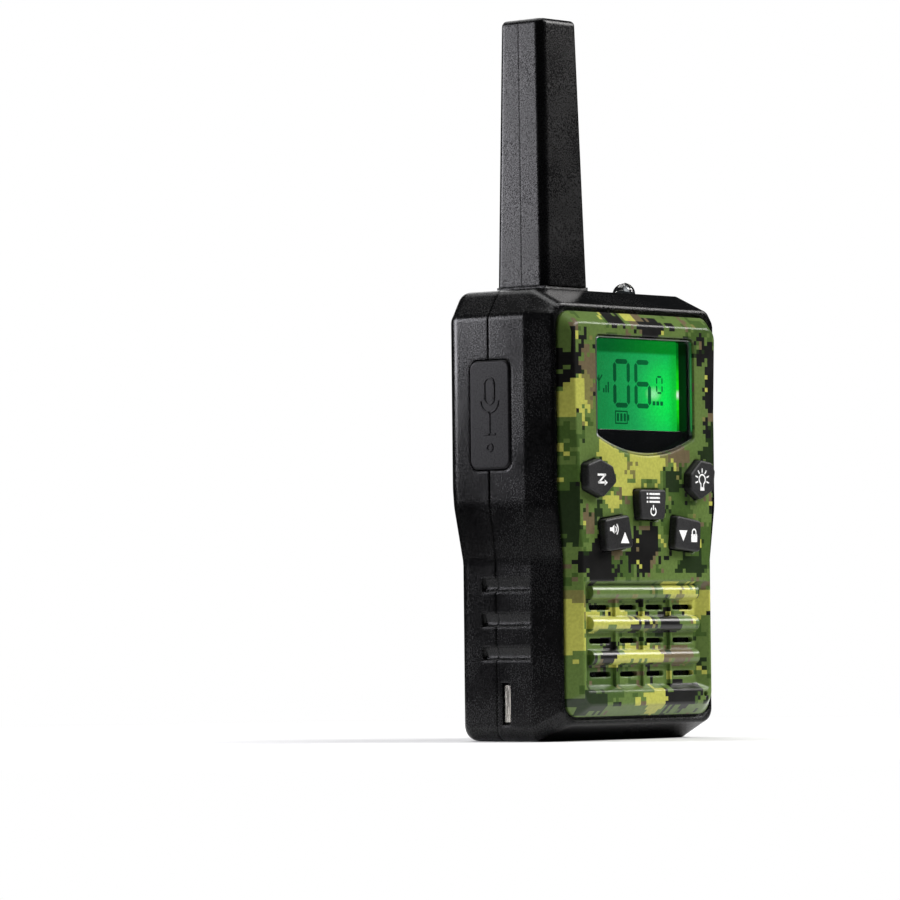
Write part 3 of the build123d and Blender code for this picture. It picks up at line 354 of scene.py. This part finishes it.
def lit_display():
    """Back-lit display: dim green, brighter towards the lamp at its side, with a painted shadow along its
    top.
    """
    g = Graph("lit_display")
    place = g.place()
    x, _, z = g.parts(place)
    tone = g.mix(g.spread(x, -14 * MM, 8 * MM), GLOW_DIM, GLOW_MID)
    glow = round_glow(g, place, GLOW_X, GLOW_Z, 12.5 * MM, 13 * MM)
    tone = g.mix(glow, tone, GLOW_HOT)
    margin = g.math("MULTIPLY", g.spread(x, GLOW_X, GLOW_X + 3 * MM), 0.55)
    tone = g.mix(margin, tone, (0.004, 0.42, 0.006))
    core = round_glow(g, place, LAMP_X, LAMP_Z, 3.2 * MM, 2.0 * MM)
    tone = g.mix(g.math("MULTIPLY", core, 0.75), tone, GLOW_CORE)
    # painted shadow along the top, where the window's upper edge shades the display
    band = g.spread(z, SHADOW_LOW, SHADOW_HIGH)
    tone = g.mix(band, tone, g.mix(g.spread(x, -10 * MM, 13 * MM), PAINTED_SHADOW_GLOW, (0.001, 0.25, 0.02)))
    mesh = g.spread(g.noise(place, 2600, detail=1.0), 0.3, 0.7, 0.9, 1.05)
    light = g.add("Emission", {"Color": tone, "Strength": mesh}).outputs[0]
    film = principled(g, Base_Color=(0.002, 0.01, 0.004), Roughness=0.25)
    return g.finish(g.add("AddShader", {0: light, 1: film}).outputs[0])


def lamp_edge():
    """Lit edge of the light guide, brightest beside its lamp."""
    g = Graph("lamp_edge")
    place = g.place()
    z = g.parts(place)["Z"]
    away = g.math("ABSOLUTE", g.math("SUBTRACT", z, LAMP_Z))
    tone = g.mix(g.spread(away, 9.5 * MM, 1.0 * MM), (0.0, 0.14, 0.012), (0.01, 0.85, 0.01))
    tone = g.mix(g.spread(away, 1.3 * MM, 0.2 * MM), tone, (0.75, 1.0, 0.75))
    uneven = g.spread(g.noise(place, 900), 0.3, 0.7, 0.85, 1.1)
    return g.finish(g.add("Emission", {"Color": tone, "Strength": uneven}).outputs[0])


def segment_ink():
    """Dark liquid-crystal segments, with a little of the backlight showing through."""
    g = Graph("segment_ink")
    place = g.place()
    x = g.parts(place)["X"]
    tone = g.mix(g.spread(x, -12 * MM, 11 * MM), (0.003, 0.066, 0.024), (0.004, 0.15, 0.045))
    speckle = g.spread(g.noise(place, 3000), 0.3, 0.7, 0.85, 1.1)
    return g.finish(g.add("Emission", {"Color": tone, "Strength": speckle}).outputs[0])


def led_epoxy():
    """Water-clear epoxy of the torch."""
    g = Graph("led_epoxy")
    cloud = g.noise(g.place(), 500, detail=2.0)
    shader = principled(
        g,
        Base_Color=(0.86, 0.9, 0.93),
        Roughness=g.spread(cloud, 0.3, 0.7, 0.01, 0.05),
        IOR=1.5,
        Transmission_Weight=1.0,
    )
    return g.finish(shader)


def metal(name, colour, roughness, along=(1, 1, 0.08)):
    """Drawn or plated metal with fine lines along one direction."""
    g = Graph(name)
    place = g.place()
    lines = g.noise(g.vector("MULTIPLY", place, along), 3800, detail=3.0)
    stain = g.noise(place, 240, detail=3.0)
    shader = principled(
        g,
        Base_Color=g.mix(g.spread(stain, 0.45, 0.75), colour, tuple(channel * 0.72 for channel in colour)),
        Metallic=1.0,
        Roughness=g.spread(lines, 0.3, 0.7, roughness - 0.07, roughness + 0.1),
        Normal=g.bump(lines, 0.01 * MM, g.soft_edge(0.12 * MM)),
    )
    return g.finish(shader)


def woven_cloth():
    """Black dust cloth behind the loudspeaker slots: threads one way and the other."""
    g = Graph("woven_cloth")
    place = g.place()
    threads = {"Vector": place, "Scale": 620.0, "Distortion": 0.6}
    waves = [g.add("TexWave", threads, bands_direction=way).outputs["Fac"] for way in ("X", "Z")]
    weave = g.math("MULTIPLY", waves[0], waves[1])
    shader = principled(
        g,
        Base_Color=g.mix(weave, (0.002, 0.002, 0.002), (0.02, 0.02, 0.022)),
        Roughness=0.9,
        Normal=g.bump(weave, 0.12 * MM),
    )
    return g.finish(shader)


def circuit_board():
    """Green solder mask over branching copper tracks."""
    g = Graph("circuit_board")
    place = g.place()
    blocks = {"Vector": place, "Scale": 260.0}
    cells = g.add("TexVoronoi", blocks, feature="DISTANCE_TO_EDGE", distance="CHEBYCHEV")
    track = g.spread(cells.outputs["Distance"], 0.06, 0.1)
    shader = principled(
        g,
        Base_Color=g.mix(track, (0.03, 0.22, 0.07), (0.012, 0.10, 0.03)),
        Roughness=g.spread(g.noise(place, 700), 0.3, 0.7, 0.25, 0.4),
        Normal=g.bump(track, 0.04 * MM),
    )
    return g.finish(shader)


WRAP_LOW, WRAP_HIGH = 21 * MM, 41 * MM  # the coloured band of a cell's wrap
WRAP_LINE = 1.8 * MM  # width of the pale line at each end of the band
WRAP_LAP = 0.3 * MM  # how far that line runs over the band


def cell_wrap():
    """Shrink-wrapped cell: a dark body, a wide coloured band, and bare metal at its ends."""
    g = Graph("cell_wrap")
    place = g.place()
    z = g.parts(place)["Z"]
    band = g.math("MULTIPLY", g.math("GREATER_THAN", z, WRAP_LOW), g.math("LESS_THAN", z, WRAP_HIGH))
    line_middle = (WRAP_HIGH - WRAP_LOW) / 2 - WRAP_LAP + WRAP_LINE / 2
    line = g.math("PINGPONG", g.math("SUBTRACT", z, (WRAP_LOW + WRAP_HIGH) / 2), line_middle)
    line = g.math("GREATER_THAN", line, line_middle - WRAP_LINE / 2)
    tone = g.mix(band, (0.015, 0.016, 0.02), (0.05, 0.24, 0.10))
    tone = g.mix(line, tone, (0.6, 0.6, 0.58))
    end = g.spread(g.math("ABSOLUTE", g.facing()["Z"]), 0.7, 0.9)
    stain = g.noise(place, 600, detail=3.0)
    shader = principled(
        g,
        Base_Color=g.mix(end, tone, (0.62, 0.61, 0.58)),
        Metallic=end,
        Roughness=g.spread(stain, 0.3, 0.7, 0.2, 0.34),
        Normal=g.bump(stain, 0.02 * MM),
    )
    return g.finish(shader)


def white_print_painted_glow():
    """Pad-printed white ink of the key legends, with a faint painted glow."""
    g = Graph("legend_white_painted_glow")
    place = g.place()
    worn = g.spread(g.noise(place, 2400, detail=3.0), 0.32, 0.5)
    shader = principled(
        g,
        Base_Color=g.mix(worn, (0.62, 0.62, 0.6), (0.93, 0.93, 0.92)),
        Roughness=g.spread(worn, 0.0, 1.0, 0.6, 0.45),
        # faint painted glow, so the ink is brighter than the lamps alone make it
        Emission_Color=(1.0, 1.0, 1.0),
        Emission_Strength=0.12,
    )
    return g.finish(shader)


def dress_nodes(nodes):
    """Gives each CAD node its material."""
    case = moulded(
        "case_grain",
        (0.0016, 0.0016, 0.0018),
        0.2,
        grain=3000,
        depth=0.007 * MM,
        edge=0.8 * MM,
        worn=1.5,
        specular=0.27,
        sparkle=0.5,
    )
    antenna = moulded(
        "antenna_grain",
        (0.0028, 0.0028, 0.0031),
        0.28,
        depth=0.012 * MM,
        edge=0.5 * MM,
        worn=1.5,
        specular=0.24,
        sparkle=0.6,
    )
    rubber = moulded(
        "button_soft_touch",
        (0.0065, 0.0062, 0.0073),
        0.42,
        grain=3000,
        depth=0.006 * MM,
        specular=0.16,
        sparkle=0.5,
    )
    key = moulded("key_satin", (0.012, 0.012, 0.0125), 0.45, grain=3000, depth=0.006 * MM, specular=0.4)
    clip = moulded("clip_satin", (0.0025, 0.0025, 0.0028), 0.3, depth=0.009 * MM, worn=1.5, specular=0.3)
    grey = moulded("mat_silicone", (0.2, 0.2, 0.21), 0.6, depth=0.03 * MM, worn=1.2)
    white = moulded("frame_white", (0.55, 0.55, 0.52), 0.45, depth=0.02 * MM, worn=1.1)
    chip = moulded("chip_epoxy", (0.012, 0.012, 0.012), 0.5, depth=0.04 * MM)
    paper = moulded("cone_paper", (0.035, 0.034, 0.032), 0.85, depth=0.09 * MM, grain=1500)
    wire = moulded("wire_red", (0.36, 0.02, 0.018), 0.4, depth=0.01 * MM, worn=1.2)
    guide = moulded("guide_acrylic", (0.3, 0.8, 0.38), 0.15, depth=0.01 * MM, worn=1.1)
    steel = metal("bright_steel", (0.58, 0.58, 0.59), 0.26)
    nickel = metal("nickel_plate", (0.66, 0.63, 0.57), 0.22)
    copper = metal("copper_wire", (0.78, 0.36, 0.19), 0.28, along=(0.1, 0.1, 1))
    ferrite = metal("magnet_plate", (0.32, 0.32, 0.33), 0.35)
    looks = {
        case: ["front_shell", "rear_shell", "battery_door"],
        antenna: ["antenna_front", "antenna_rear"],
        camouflage(): ["front_panel"],
        clear_lens(): ["display_window"],
        bezel_gloss(): ["display_bezel"],
        lit_display(): ["lcd_glass"],
        guide: ["light_guide", "backlight_leds"],
        key: ["call_key", "light_key", "menu_key", "up_key", "down_key"],
        rubber: ["ptt_button"],
        clip: ["belt_clip"],
        grey: ["key_mat", "lcd_connector", "microphone_boot"],
        white: ["lcd_holder", "antenna_core"],
        circuit_board(): ["main_board"],
        chip: ["radio_chips", "key_switches", "ptt_switch"],
        woven_cloth(): ["speaker_cloth"],
        paper: ["speaker_cone"],
        wire: ["speaker_wires", "battery_wires"],
        led_epoxy(): ["torch_led"],
        steel: ["clip_pin", "clip_spring", "case_screws", "board_screws", "speaker_basket", "crystal"],
        nickel: [
            "charge_contacts",
            "battery_springs",
            "battery_plates",
            "rf_shield",
            "torch_leads",
            "microphone",
        ],
        copper: ["antenna_coil"],
        ferrite: ["speaker_magnet"],
        cell_wrap(): [f"battery_cell_{number}" for number in (1, 2, 3, 4)],
    }
    for material, names in looks.items():
        for name in names:
            slots = nodes[name].data.materials
            slots.clear()
            slots.append(material)
    return {"rubber": rubber, "nickel": nickel}


# ---- flat drawn shapes, as outlines in millimetres ------------------------------------------


def stroke(start, end, width):
    """A straight line of that width, with its ends carried past by half of it."""
    a, b = Vector(start), Vector(end)
    along = (b - a).normalized() * width / 2
    side = Vector((-along.y, along.x))
    return [tuple(p) for p in (a - along - side, b + along - side, b + along + side, a - along + side)]


def path(points, width, closed=False):
    """A stroke along each run of a bent line."""
    ends = points[1:] + points[:1] if closed else points[1:]
    return [stroke(a, b, width) for a, b in zip(points, ends)]


def arc(centre, radius, width, start, end, steps=20):
    """A band of a circle, from start to end in degrees, anticlockwise from the right."""
    angles = [math.radians(start + (end - start) * step / steps) for step in range(steps + 1)]
    inner, outer = radius - width / 2, radius + width / 2
    near = [(centre[0] + outer * math.cos(a), centre[1] + outer * math.sin(a)) for a in angles]
    far = [(centre[0] + inner * math.cos(a), centre[1] + inner * math.sin(a)) for a in reversed(angles)]
    return near + far


def block(x, z, wide, tall):
    """An upright rectangle round its centre."""
    return [
        (x - wide / 2, z - tall / 2),
        (x + wide / 2, z - tall / 2),
        (x + wide / 2, z + tall / 2),
        (x - wide / 2, z + tall / 2),
    ]


def plate(name, outlines, origin, across, up, proud, material, body):
    """A thin piece on a face. Its outlines, in (across, up) millimetres from the origin, stand proud."""
    out = across.cross(up)
    shape = bmesh.new()
    for outline in outlines:
        corners = [shape.verts.new(origin + (across * u + up * v) * MM) for u, v in outline]
        face = shape.faces.new(corners)
        lifted = bmesh.ops.extrude_face_region(shape, geom=[face])["geom"]
        moved = [item for item in lifted if isinstance(item, bmesh.types.BMVert)]
        bmesh.ops.translate(shape, verts=moved, vec=out * proud)
    bmesh.ops.recalc_face_normals(shape, faces=shape.faces)
    add_piece(name, shape, material, body)


def add_piece(name, shape, material, body):
    """Turns a bmesh into a piece that rides on a CAD body."""
    mesh = bpy.data.meshes.new(name)
    shape.to_mesh(mesh)
    shape.free()
    mesh.materials.append(material)
    piece = bpy.data.objects.new(name, mesh)
    bpy.context.scene.collection.objects.link(piece)
    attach(piece, body)


RIGHT = Vector((1, 0, 0))
BACK = Vector((0, 1, 0))
UP = Vector((0, 0, 1))
INK_THICK = 0.02 * MM

# ---- key legends --------------------------------------------------------------------------


def call_legend(x, z):
    """An arrow bent twice."""
    zigzag = [(x - 1.3, z + 0.95), (x + 0.95, z + 0.95), (x - 1.1, z - 0.7), (x + 0.9, z - 0.7)]
    head = [(x + 0.8, z - 1.35), (x + 1.75, z - 0.7), (x + 0.8, z - 0.05)]
    return path(zigzag, 0.46) + [head]


def light_legend(x, z):
    """A lamp with rays."""
    outlines = [arc((x, z), 1.05, 0.36, -60, 240)]
    outlines += path([(x - 0.5, z - 0.95), (x - 0.45, z - 1.7)], 0.3)
    outlines += path([(x + 0.5, z - 0.95), (x + 0.45, z - 1.7)], 0.3)
    outlines += [block(x, z - 2.05, 1.35, 0.75)]
    for degrees in (-18, 18, 54, 90, 126, 162, 198):
        way = Vector((math.cos(math.radians(degrees)), math.sin(math.radians(degrees))))
        outlines.append(stroke(Vector((x, z)) + way * 1.65, Vector((x, z)) + way * 2.25, 0.32))
    return outlines


def menu_legend(x, z):
    """Three short lines of a list over the power sign."""
    outlines = []
    for row in (0.85, 0.0, -0.85):
        outlines.append(block(x - 1.95, z + 1.3 + row, 0.5, 0.42))
        outlines.append(block(x + 0.45, z + 1.3 + row, 3.5, 0.42))
    outlines.append(arc((x, z - 1.6), 0.86, 0.34, 125, 415))
    outlines.append(stroke((x, z - 1.2), (x, z - 0.4), 0.34))
    return outlines


def up_legend(x, z):
    """A small loudspeaker and a triangle that points up."""
    outlines = [[(x - 1.4, z - 1.2), (x + 1.4, z - 1.2), (x, z + 1.2)]]
    horn_x, horn_z = x - 4.1, z + 1.75
    outlines.append(block(horn_x - 0.5, horn_z, 0.7, 0.8))
    outlines.append([
        (horn_x - 0.15, horn_z - 0.4),
        (horn_x + 0.6, horn_z - 0.95),
        (horn_x + 0.6, horn_z + 0.95),
        (horn_x - 0.15, horn_z + 0.4),
    ])
    outlines += [arc((horn_x + 0.4, horn_z), radius, 0.26, -48, 48, 8) for radius in (0.85, 1.45)]
    return outlines


def down_legend(x, z):
    """A triangle that points down and a closed padlock."""
    outlines = [[(x - 1.4, z + 1.2), (x, z - 1.2), (x + 1.4, z + 1.2)]]
    lock_x, lock_z = x + 3.7, z - 0.15
    outlines.append(block(lock_x, lock_z - 0.35, 2.0, 1.7))
    outlines.append(arc((lock_x, lock_z + 0.95), 0.62, 0.34, 0, 180, 12))
    outlines += [stroke((lock_x + side * 0.62, lock_z + 0.6), (lock_x + side * 0.62, lock_z + 0.8), 0.34)
                 for side in (-1, 1)]
    return outlines


# The sign of each key, and the middle of its print, X and Z in mm
LEGENDS = {
    "call_key": (call_legend, -16.9, 55.8),
    "light_key": (light_legend, 16.7, 56.2),
    "menu_key": (menu_legend, 0.0, 50.7),
    "up_key": (up_legend, -9.6, 43.4),
    "down_key": (down_legend, 10.0, 43.9),
}


def print_legends(white):
    """Prints each key's sign on its top."""
    for key, (drawing, x, z) in LEGENDS.items():
        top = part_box(key)[0].y
        name = key.replace("key", "legend")
        plate(name, drawing(x, z), Vector((0, top, 0)), RIGHT, UP, INK_THICK, white, key)


# ---- display ------------------------------------------------------------------------------


def seven_segments(x, z, wide, tall, bar, lit):
    """The lit bars of one numeral whose lower left corner is at x, z. Bars are named a to g as usual."""
    gap = 0.16
    half = bar / 2
    middle = z + tall / 2
    rows = {"a": z + tall - half, "g": middle, "d": z + half}
    near, far = x + half, x + wide - half
    sides = {"f": (near, 1), "b": (far, 1), "e": (near, 0), "c": (far, 0)}
    outlines = []
    for name, row in rows.items():
        if name in lit:
            left, right = near + gap, far - gap
            outlines.append([
                (left, row),
                (left + half, row - half),
                (right - half, row - half),
                (right, row),
                (right - half, row + half),
                (left + half, row + half),
            ])
    for name, (column, upper) in sides.items():
        if name in lit:
            low = middle + gap if upper else z + half + gap
            high = z + tall - half - gap if upper else middle - gap
            outlines.append([
                (column, low),
                (column + half, low + half),
                (column + half, high - half),
                (column, high),
                (column - half, high - half),
                (column - half, low + half),
            ])
    return outlines


def display_signs():
    """Channel number, a small numeral, a mast with bars, a battery gauge and a row of status marks."""
    outlines = seven_segments(-5.85, 71.6, 5.6, 10.5, 1.05, "abcdef")
    outlines += seven_segments(1.25, 71.6, 5.6, 10.5, 1.05, "acdefg")
    outlines += seven_segments(8.6, 74.9, 2.2, 3.9, 0.4, "abcdef")
    outlines += path([(-5.2, 68.2), (-1.3, 68.2), (-1.3, 70.8), (-5.2, 70.8)], 0.3, closed=True)
    outlines.append(block(-0.85, 69.5, 0.5, 1.3))
    outlines += [block(-4.4 + step * 1.15, 69.5, 0.7, 1.7) for step in range(3)]
    outlines += path([(-10.6, 75.2), (-10.6, 78.3)], 0.32)
    outlines += path([(-11.6, 78.4), (-10.6, 77.2), (-9.6, 78.4)], 0.32)
    outlines += [block(-9.0 + step * 0.75, 75.2 + step * 0.35, 0.42, 0.9 + step * 0.7) for step in range(3)]
    outlines += [block(7.8 + step * 1.3, 72.8, 0.9, 0.9) for step in range(3)]
    return outlines


VIEW_HALF = 15.7  # half the width of the display that shows in its bezel, in mm
EDGE_WIDE = 0.18
EDGE_TALL = 19.4
EDGE_Z = 76.5


def build_display():
    """Puts the signs on the display's glass, and a lit strip at each side of it."""
    glass_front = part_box("lcd_glass")[0].y
    place = Vector((0, glass_front, 0))
    plate("display_signs", display_signs(), place, RIGHT, UP, INK_THICK, segment_ink(), "case")
    edge_x = VIEW_HALF - EDGE_WIDE / 2
    edges = [block(side * edge_x, EDGE_Z, EDGE_WIDE, EDGE_TALL) for side in (-1, 1)]
    plate("lamp_edges", edges, place, RIGHT, UP, 0.5 * MM, lamp_edge(), "case")


# ---- push-to-talk mark ----------------------------------------------------------------------


def talk_mark():
    """A tall microphone on its stand over a small ring, drawn in thin raised lines."""
    width = 0.42
    round_r, low, high, foot = 1.35, 3.6, 6.6, -4.2
    outlines = [arc((0, high), round_r, width, 0, 180, 14), arc((0, low), round_r, width, 180, 360, 14)]
    outlines += [stroke((side * round_r, low), (side * round_r, high), width) for side in (-1, 1)]
    outlines.append(arc((0, 3.0), 2.5, width, 180, 360, 18))
    outlines.append(stroke((0, 0.5), (0, foot), width))
    outlines.append(stroke((-1.5, foot), (1.5, foot), width))
    outlines.append(arc((0, -7.0), 0.8, width, 0, 360, 20))
    return outlines


def raise_talk_mark(rubber):
    """Raises the microphone sign on the outer face of the push-to-talk button."""
    low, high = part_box("ptt_button")
    place = Vector((low.x, (low.y + high.y) / 2, (low.z + high.z) / 2))
    plate("talk_mark", talk_mark(), place, -BACK, UP, 0.14 * MM, rubber, "ptt_button")


# ---- torch --------------------------------------------------------------------------------


def turned(profile, centre, steps=32):
    """A bmesh turned about the upright line through centre. profile lists (radius, height) in metres."""
    shape = bmesh.new()
    rings = []
    for radius, height in profile:
        points = []
        for step in range(steps):
            angle = 2 * math.pi * step / steps
            x, y = centre.x + radius * math.cos(angle), centre.y + radius * math.sin(angle)
            points.append(shape.verts.new((x, y, height)))
        rings.append(points)
    for lower, upper in zip(rings, rings[1:]):
        for step in range(steps):
            after = (step + 1) % steps
            shape.faces.new((lower[step], lower[after], upper[after], upper[step]))
    bmesh.ops.recalc_face_normals(shape, faces=shape.faces)
    return shape


def fill_torch(nickel):
    """The reflector cup and its post, which show through the clear dome."""
    low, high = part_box("torch_led")
    centre = (low + high) / 2
    floor = high.z - 4.6 * MM
    cup = [
        (0.15 * MM, floor + 0.35 * MM),
        (0.75 * MM, floor + 0.35 * MM),
        (1.35 * MM, floor + 1.1 * MM),
        (1.5 * MM, floor + 1.1 * MM),
        (1.1 * MM, floor - 0.3 * MM),
        (0.55 * MM, floor - 0.5 * MM),
        (0.55 * MM, low.z + 1.2 * MM),
    ]
    add_piece("torch_cup", turned(cup, centre), nickel, "case")
    die = [(0.02 * MM, floor + 0.75 * MM), (0.3 * MM, floor + 0.7 * MM), (0.34 * MM, floor + 0.36 * MM)]
    # the die takes the white print material, with its faint painted glow
    add_piece("torch_die", turned(die, centre, 16), white_print_painted_glow(), "case")


# ---- studio -------------------------------------------------------------------------------


def studio_world():
    """White behind the object, and dim grey for what the object reflects."""
    world = bpy.data.worlds.new("studio")
    bpy.context.scene.world = world
    world.use_nodes = True
    tree = world.node_tree
    tree.nodes.clear()
    seen = tree.nodes.new("ShaderNodeLightPath").outputs["Is Camera Ray"]
    dim = tree.nodes.new("ShaderNodeBackground")
    dim.inputs["Color"].default_value = (0.9, 0.95, 1.0, 1)
    dim.inputs["Strength"].default_value = 0.02
    white = tree.nodes.new("ShaderNodeBackground")
    white.inputs["Strength"].default_value = 1.0
    white.inputs["Color"].default_value = (1, 1, 1, 1)
    mixed = tree.nodes.new("ShaderNodeMixShader")
    tree.links.new(seen, mixed.inputs[0])
    tree.links.new(dim.outputs[0], mixed.inputs[1])
    tree.links.new(white.outputs[0], mixed.inputs[2])
    output = tree.nodes.new("ShaderNodeOutputWorld")
    tree.links.new(mixed.outputs[0], output.inputs[0])


FLOOR_R = 0.5
FADE_OUTER, FADE_INNER = 0.26, 0.08  # the floor is solid inside the second and gone past the first


def pale_floor():
    """A round white floor that fades out before its edge."""
    g = Graph("pale_floor")
    place = g.place()
    flat = g.vector("MULTIPLY", place, (1, 1, 0))
    radius = g.add("VectorMath", {0: flat}, operation="LENGTH").outputs["Value"]
    solid = g.spread(radius, FADE_OUTER, FADE_INNER)
    mottle = g.noise(place, 18, detail=3.0)
    paint = principled(g, Base_Color=g.mix(mottle, (0.86, 0.86, 0.86), (0.9, 0.9, 0.9)), Roughness=0.85)
    clear = g.add("BsdfTransparent").outputs[0]
    material = g.finish(g.add("MixShader", {0: solid, 1: clear, 2: paint}).outputs[0])
    shape = bmesh.new()
    bmesh.ops.create_circle(shape, cap_ends=True, segments=96, radius=FLOOR_R)
    mesh = bpy.data.meshes.new("floor")
    shape.to_mesh(mesh)
    shape.free()
    mesh.materials.append(material)
    floor = bpy.data.objects.new("floor", mesh)
    bpy.context.scene.collection.objects.link(floor)


LIGHT_AIM = Vector((0, 0, 0.08))  # middle of the handset with its antenna


def softbox(name, heading, height, distance, size, power, colour=(1, 1, 1)):
    """A rectangular lamp that looks at the middle of the handset.

    heading is in degrees, 0 in front of the handset and 90 to its right. power is in watts.
    """
    light = bpy.data.lights.new(name, "AREA")
    light.shape = "RECTANGLE"
    light.size, light.size_y = size
    light.energy = power
    light.color = colour
    lamp = bpy.data.objects.new(name, light)
    angle = math.radians(heading)
    lamp.location = (distance * math.sin(angle), -distance * math.cos(angle), height)
    lamp.rotation_euler = (LIGHT_AIM - lamp.location).to_track_quat("-Z", "Y").to_euler()
    lamp.visible_camera = False
    bpy.context.scene.collection.objects.link(lamp)


def studio_lights():
    """One lamp above the front, and the others where the black faces mirror them at the camera."""
    softbox("key_above_front", 22, 1.15, 0.9, (0.6, 0.6), 14)
    softbox("side_back_left", -142, 0.185, 0.5, (0.16, 0.18), 1.75, (0.95, 0.94, 1.0))
    softbox("side_right", 55, 0.6, 0.9, (0.35, 0.4), 6.5, (1.0, 0.98, 0.97))
    softbox("rim_back_right", 140, 0.6, 1.0, (0.4, 0.7), 2.2)
    softbox("floor_wash", 180, 1.4, 0.5, (1.0, 1.0), 13)


CAMERA_PLACE = Vector((-0.8648, -0.7392, 0.0241))
CAMERA_HEADING = 48.0  # degrees from +Y towards +X
CAMERA_TILT = 1.97  # degrees above level
CAMERA_ROLL = -0.6
CAMERA_LENS = 208.9  # millimetres, for a 36 mm sensor


def place_camera():
    """The camera stands low and far off to the handset's left, with a long lens."""
    data = bpy.data.cameras.new("camera")
    data.lens = CAMERA_LENS
    data.sensor_width = 36
    data.clip_end = 20
    camera = bpy.data.objects.new("camera", data)
    turn = Matrix.Rotation(math.radians(-CAMERA_HEADING), 4, "Z")
    tilt = Matrix.Rotation(math.radians(90 + CAMERA_TILT), 4, "X")
    roll = Matrix.Rotation(math.radians(CAMERA_ROLL), 4, "Z")
    camera.matrix_world = Matrix.Translation(CAMERA_PLACE) @ turn @ tilt @ roll
    bpy.context.scene.collection.objects.link(camera)
    bpy.context.scene.camera = camera


# ---- the scene ----------------------------------------------------------------------------

finishes = dress_nodes(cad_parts)
print_legends(white_print_painted_glow())
build_display()
raise_talk_mark(finishes["rubber"])
fill_torch(finishes["nickel"])

studio_world()
pale_floor()
studio_lights()
place_camera()
bpy.context.scene.view_settings.view_transform = "Standard"
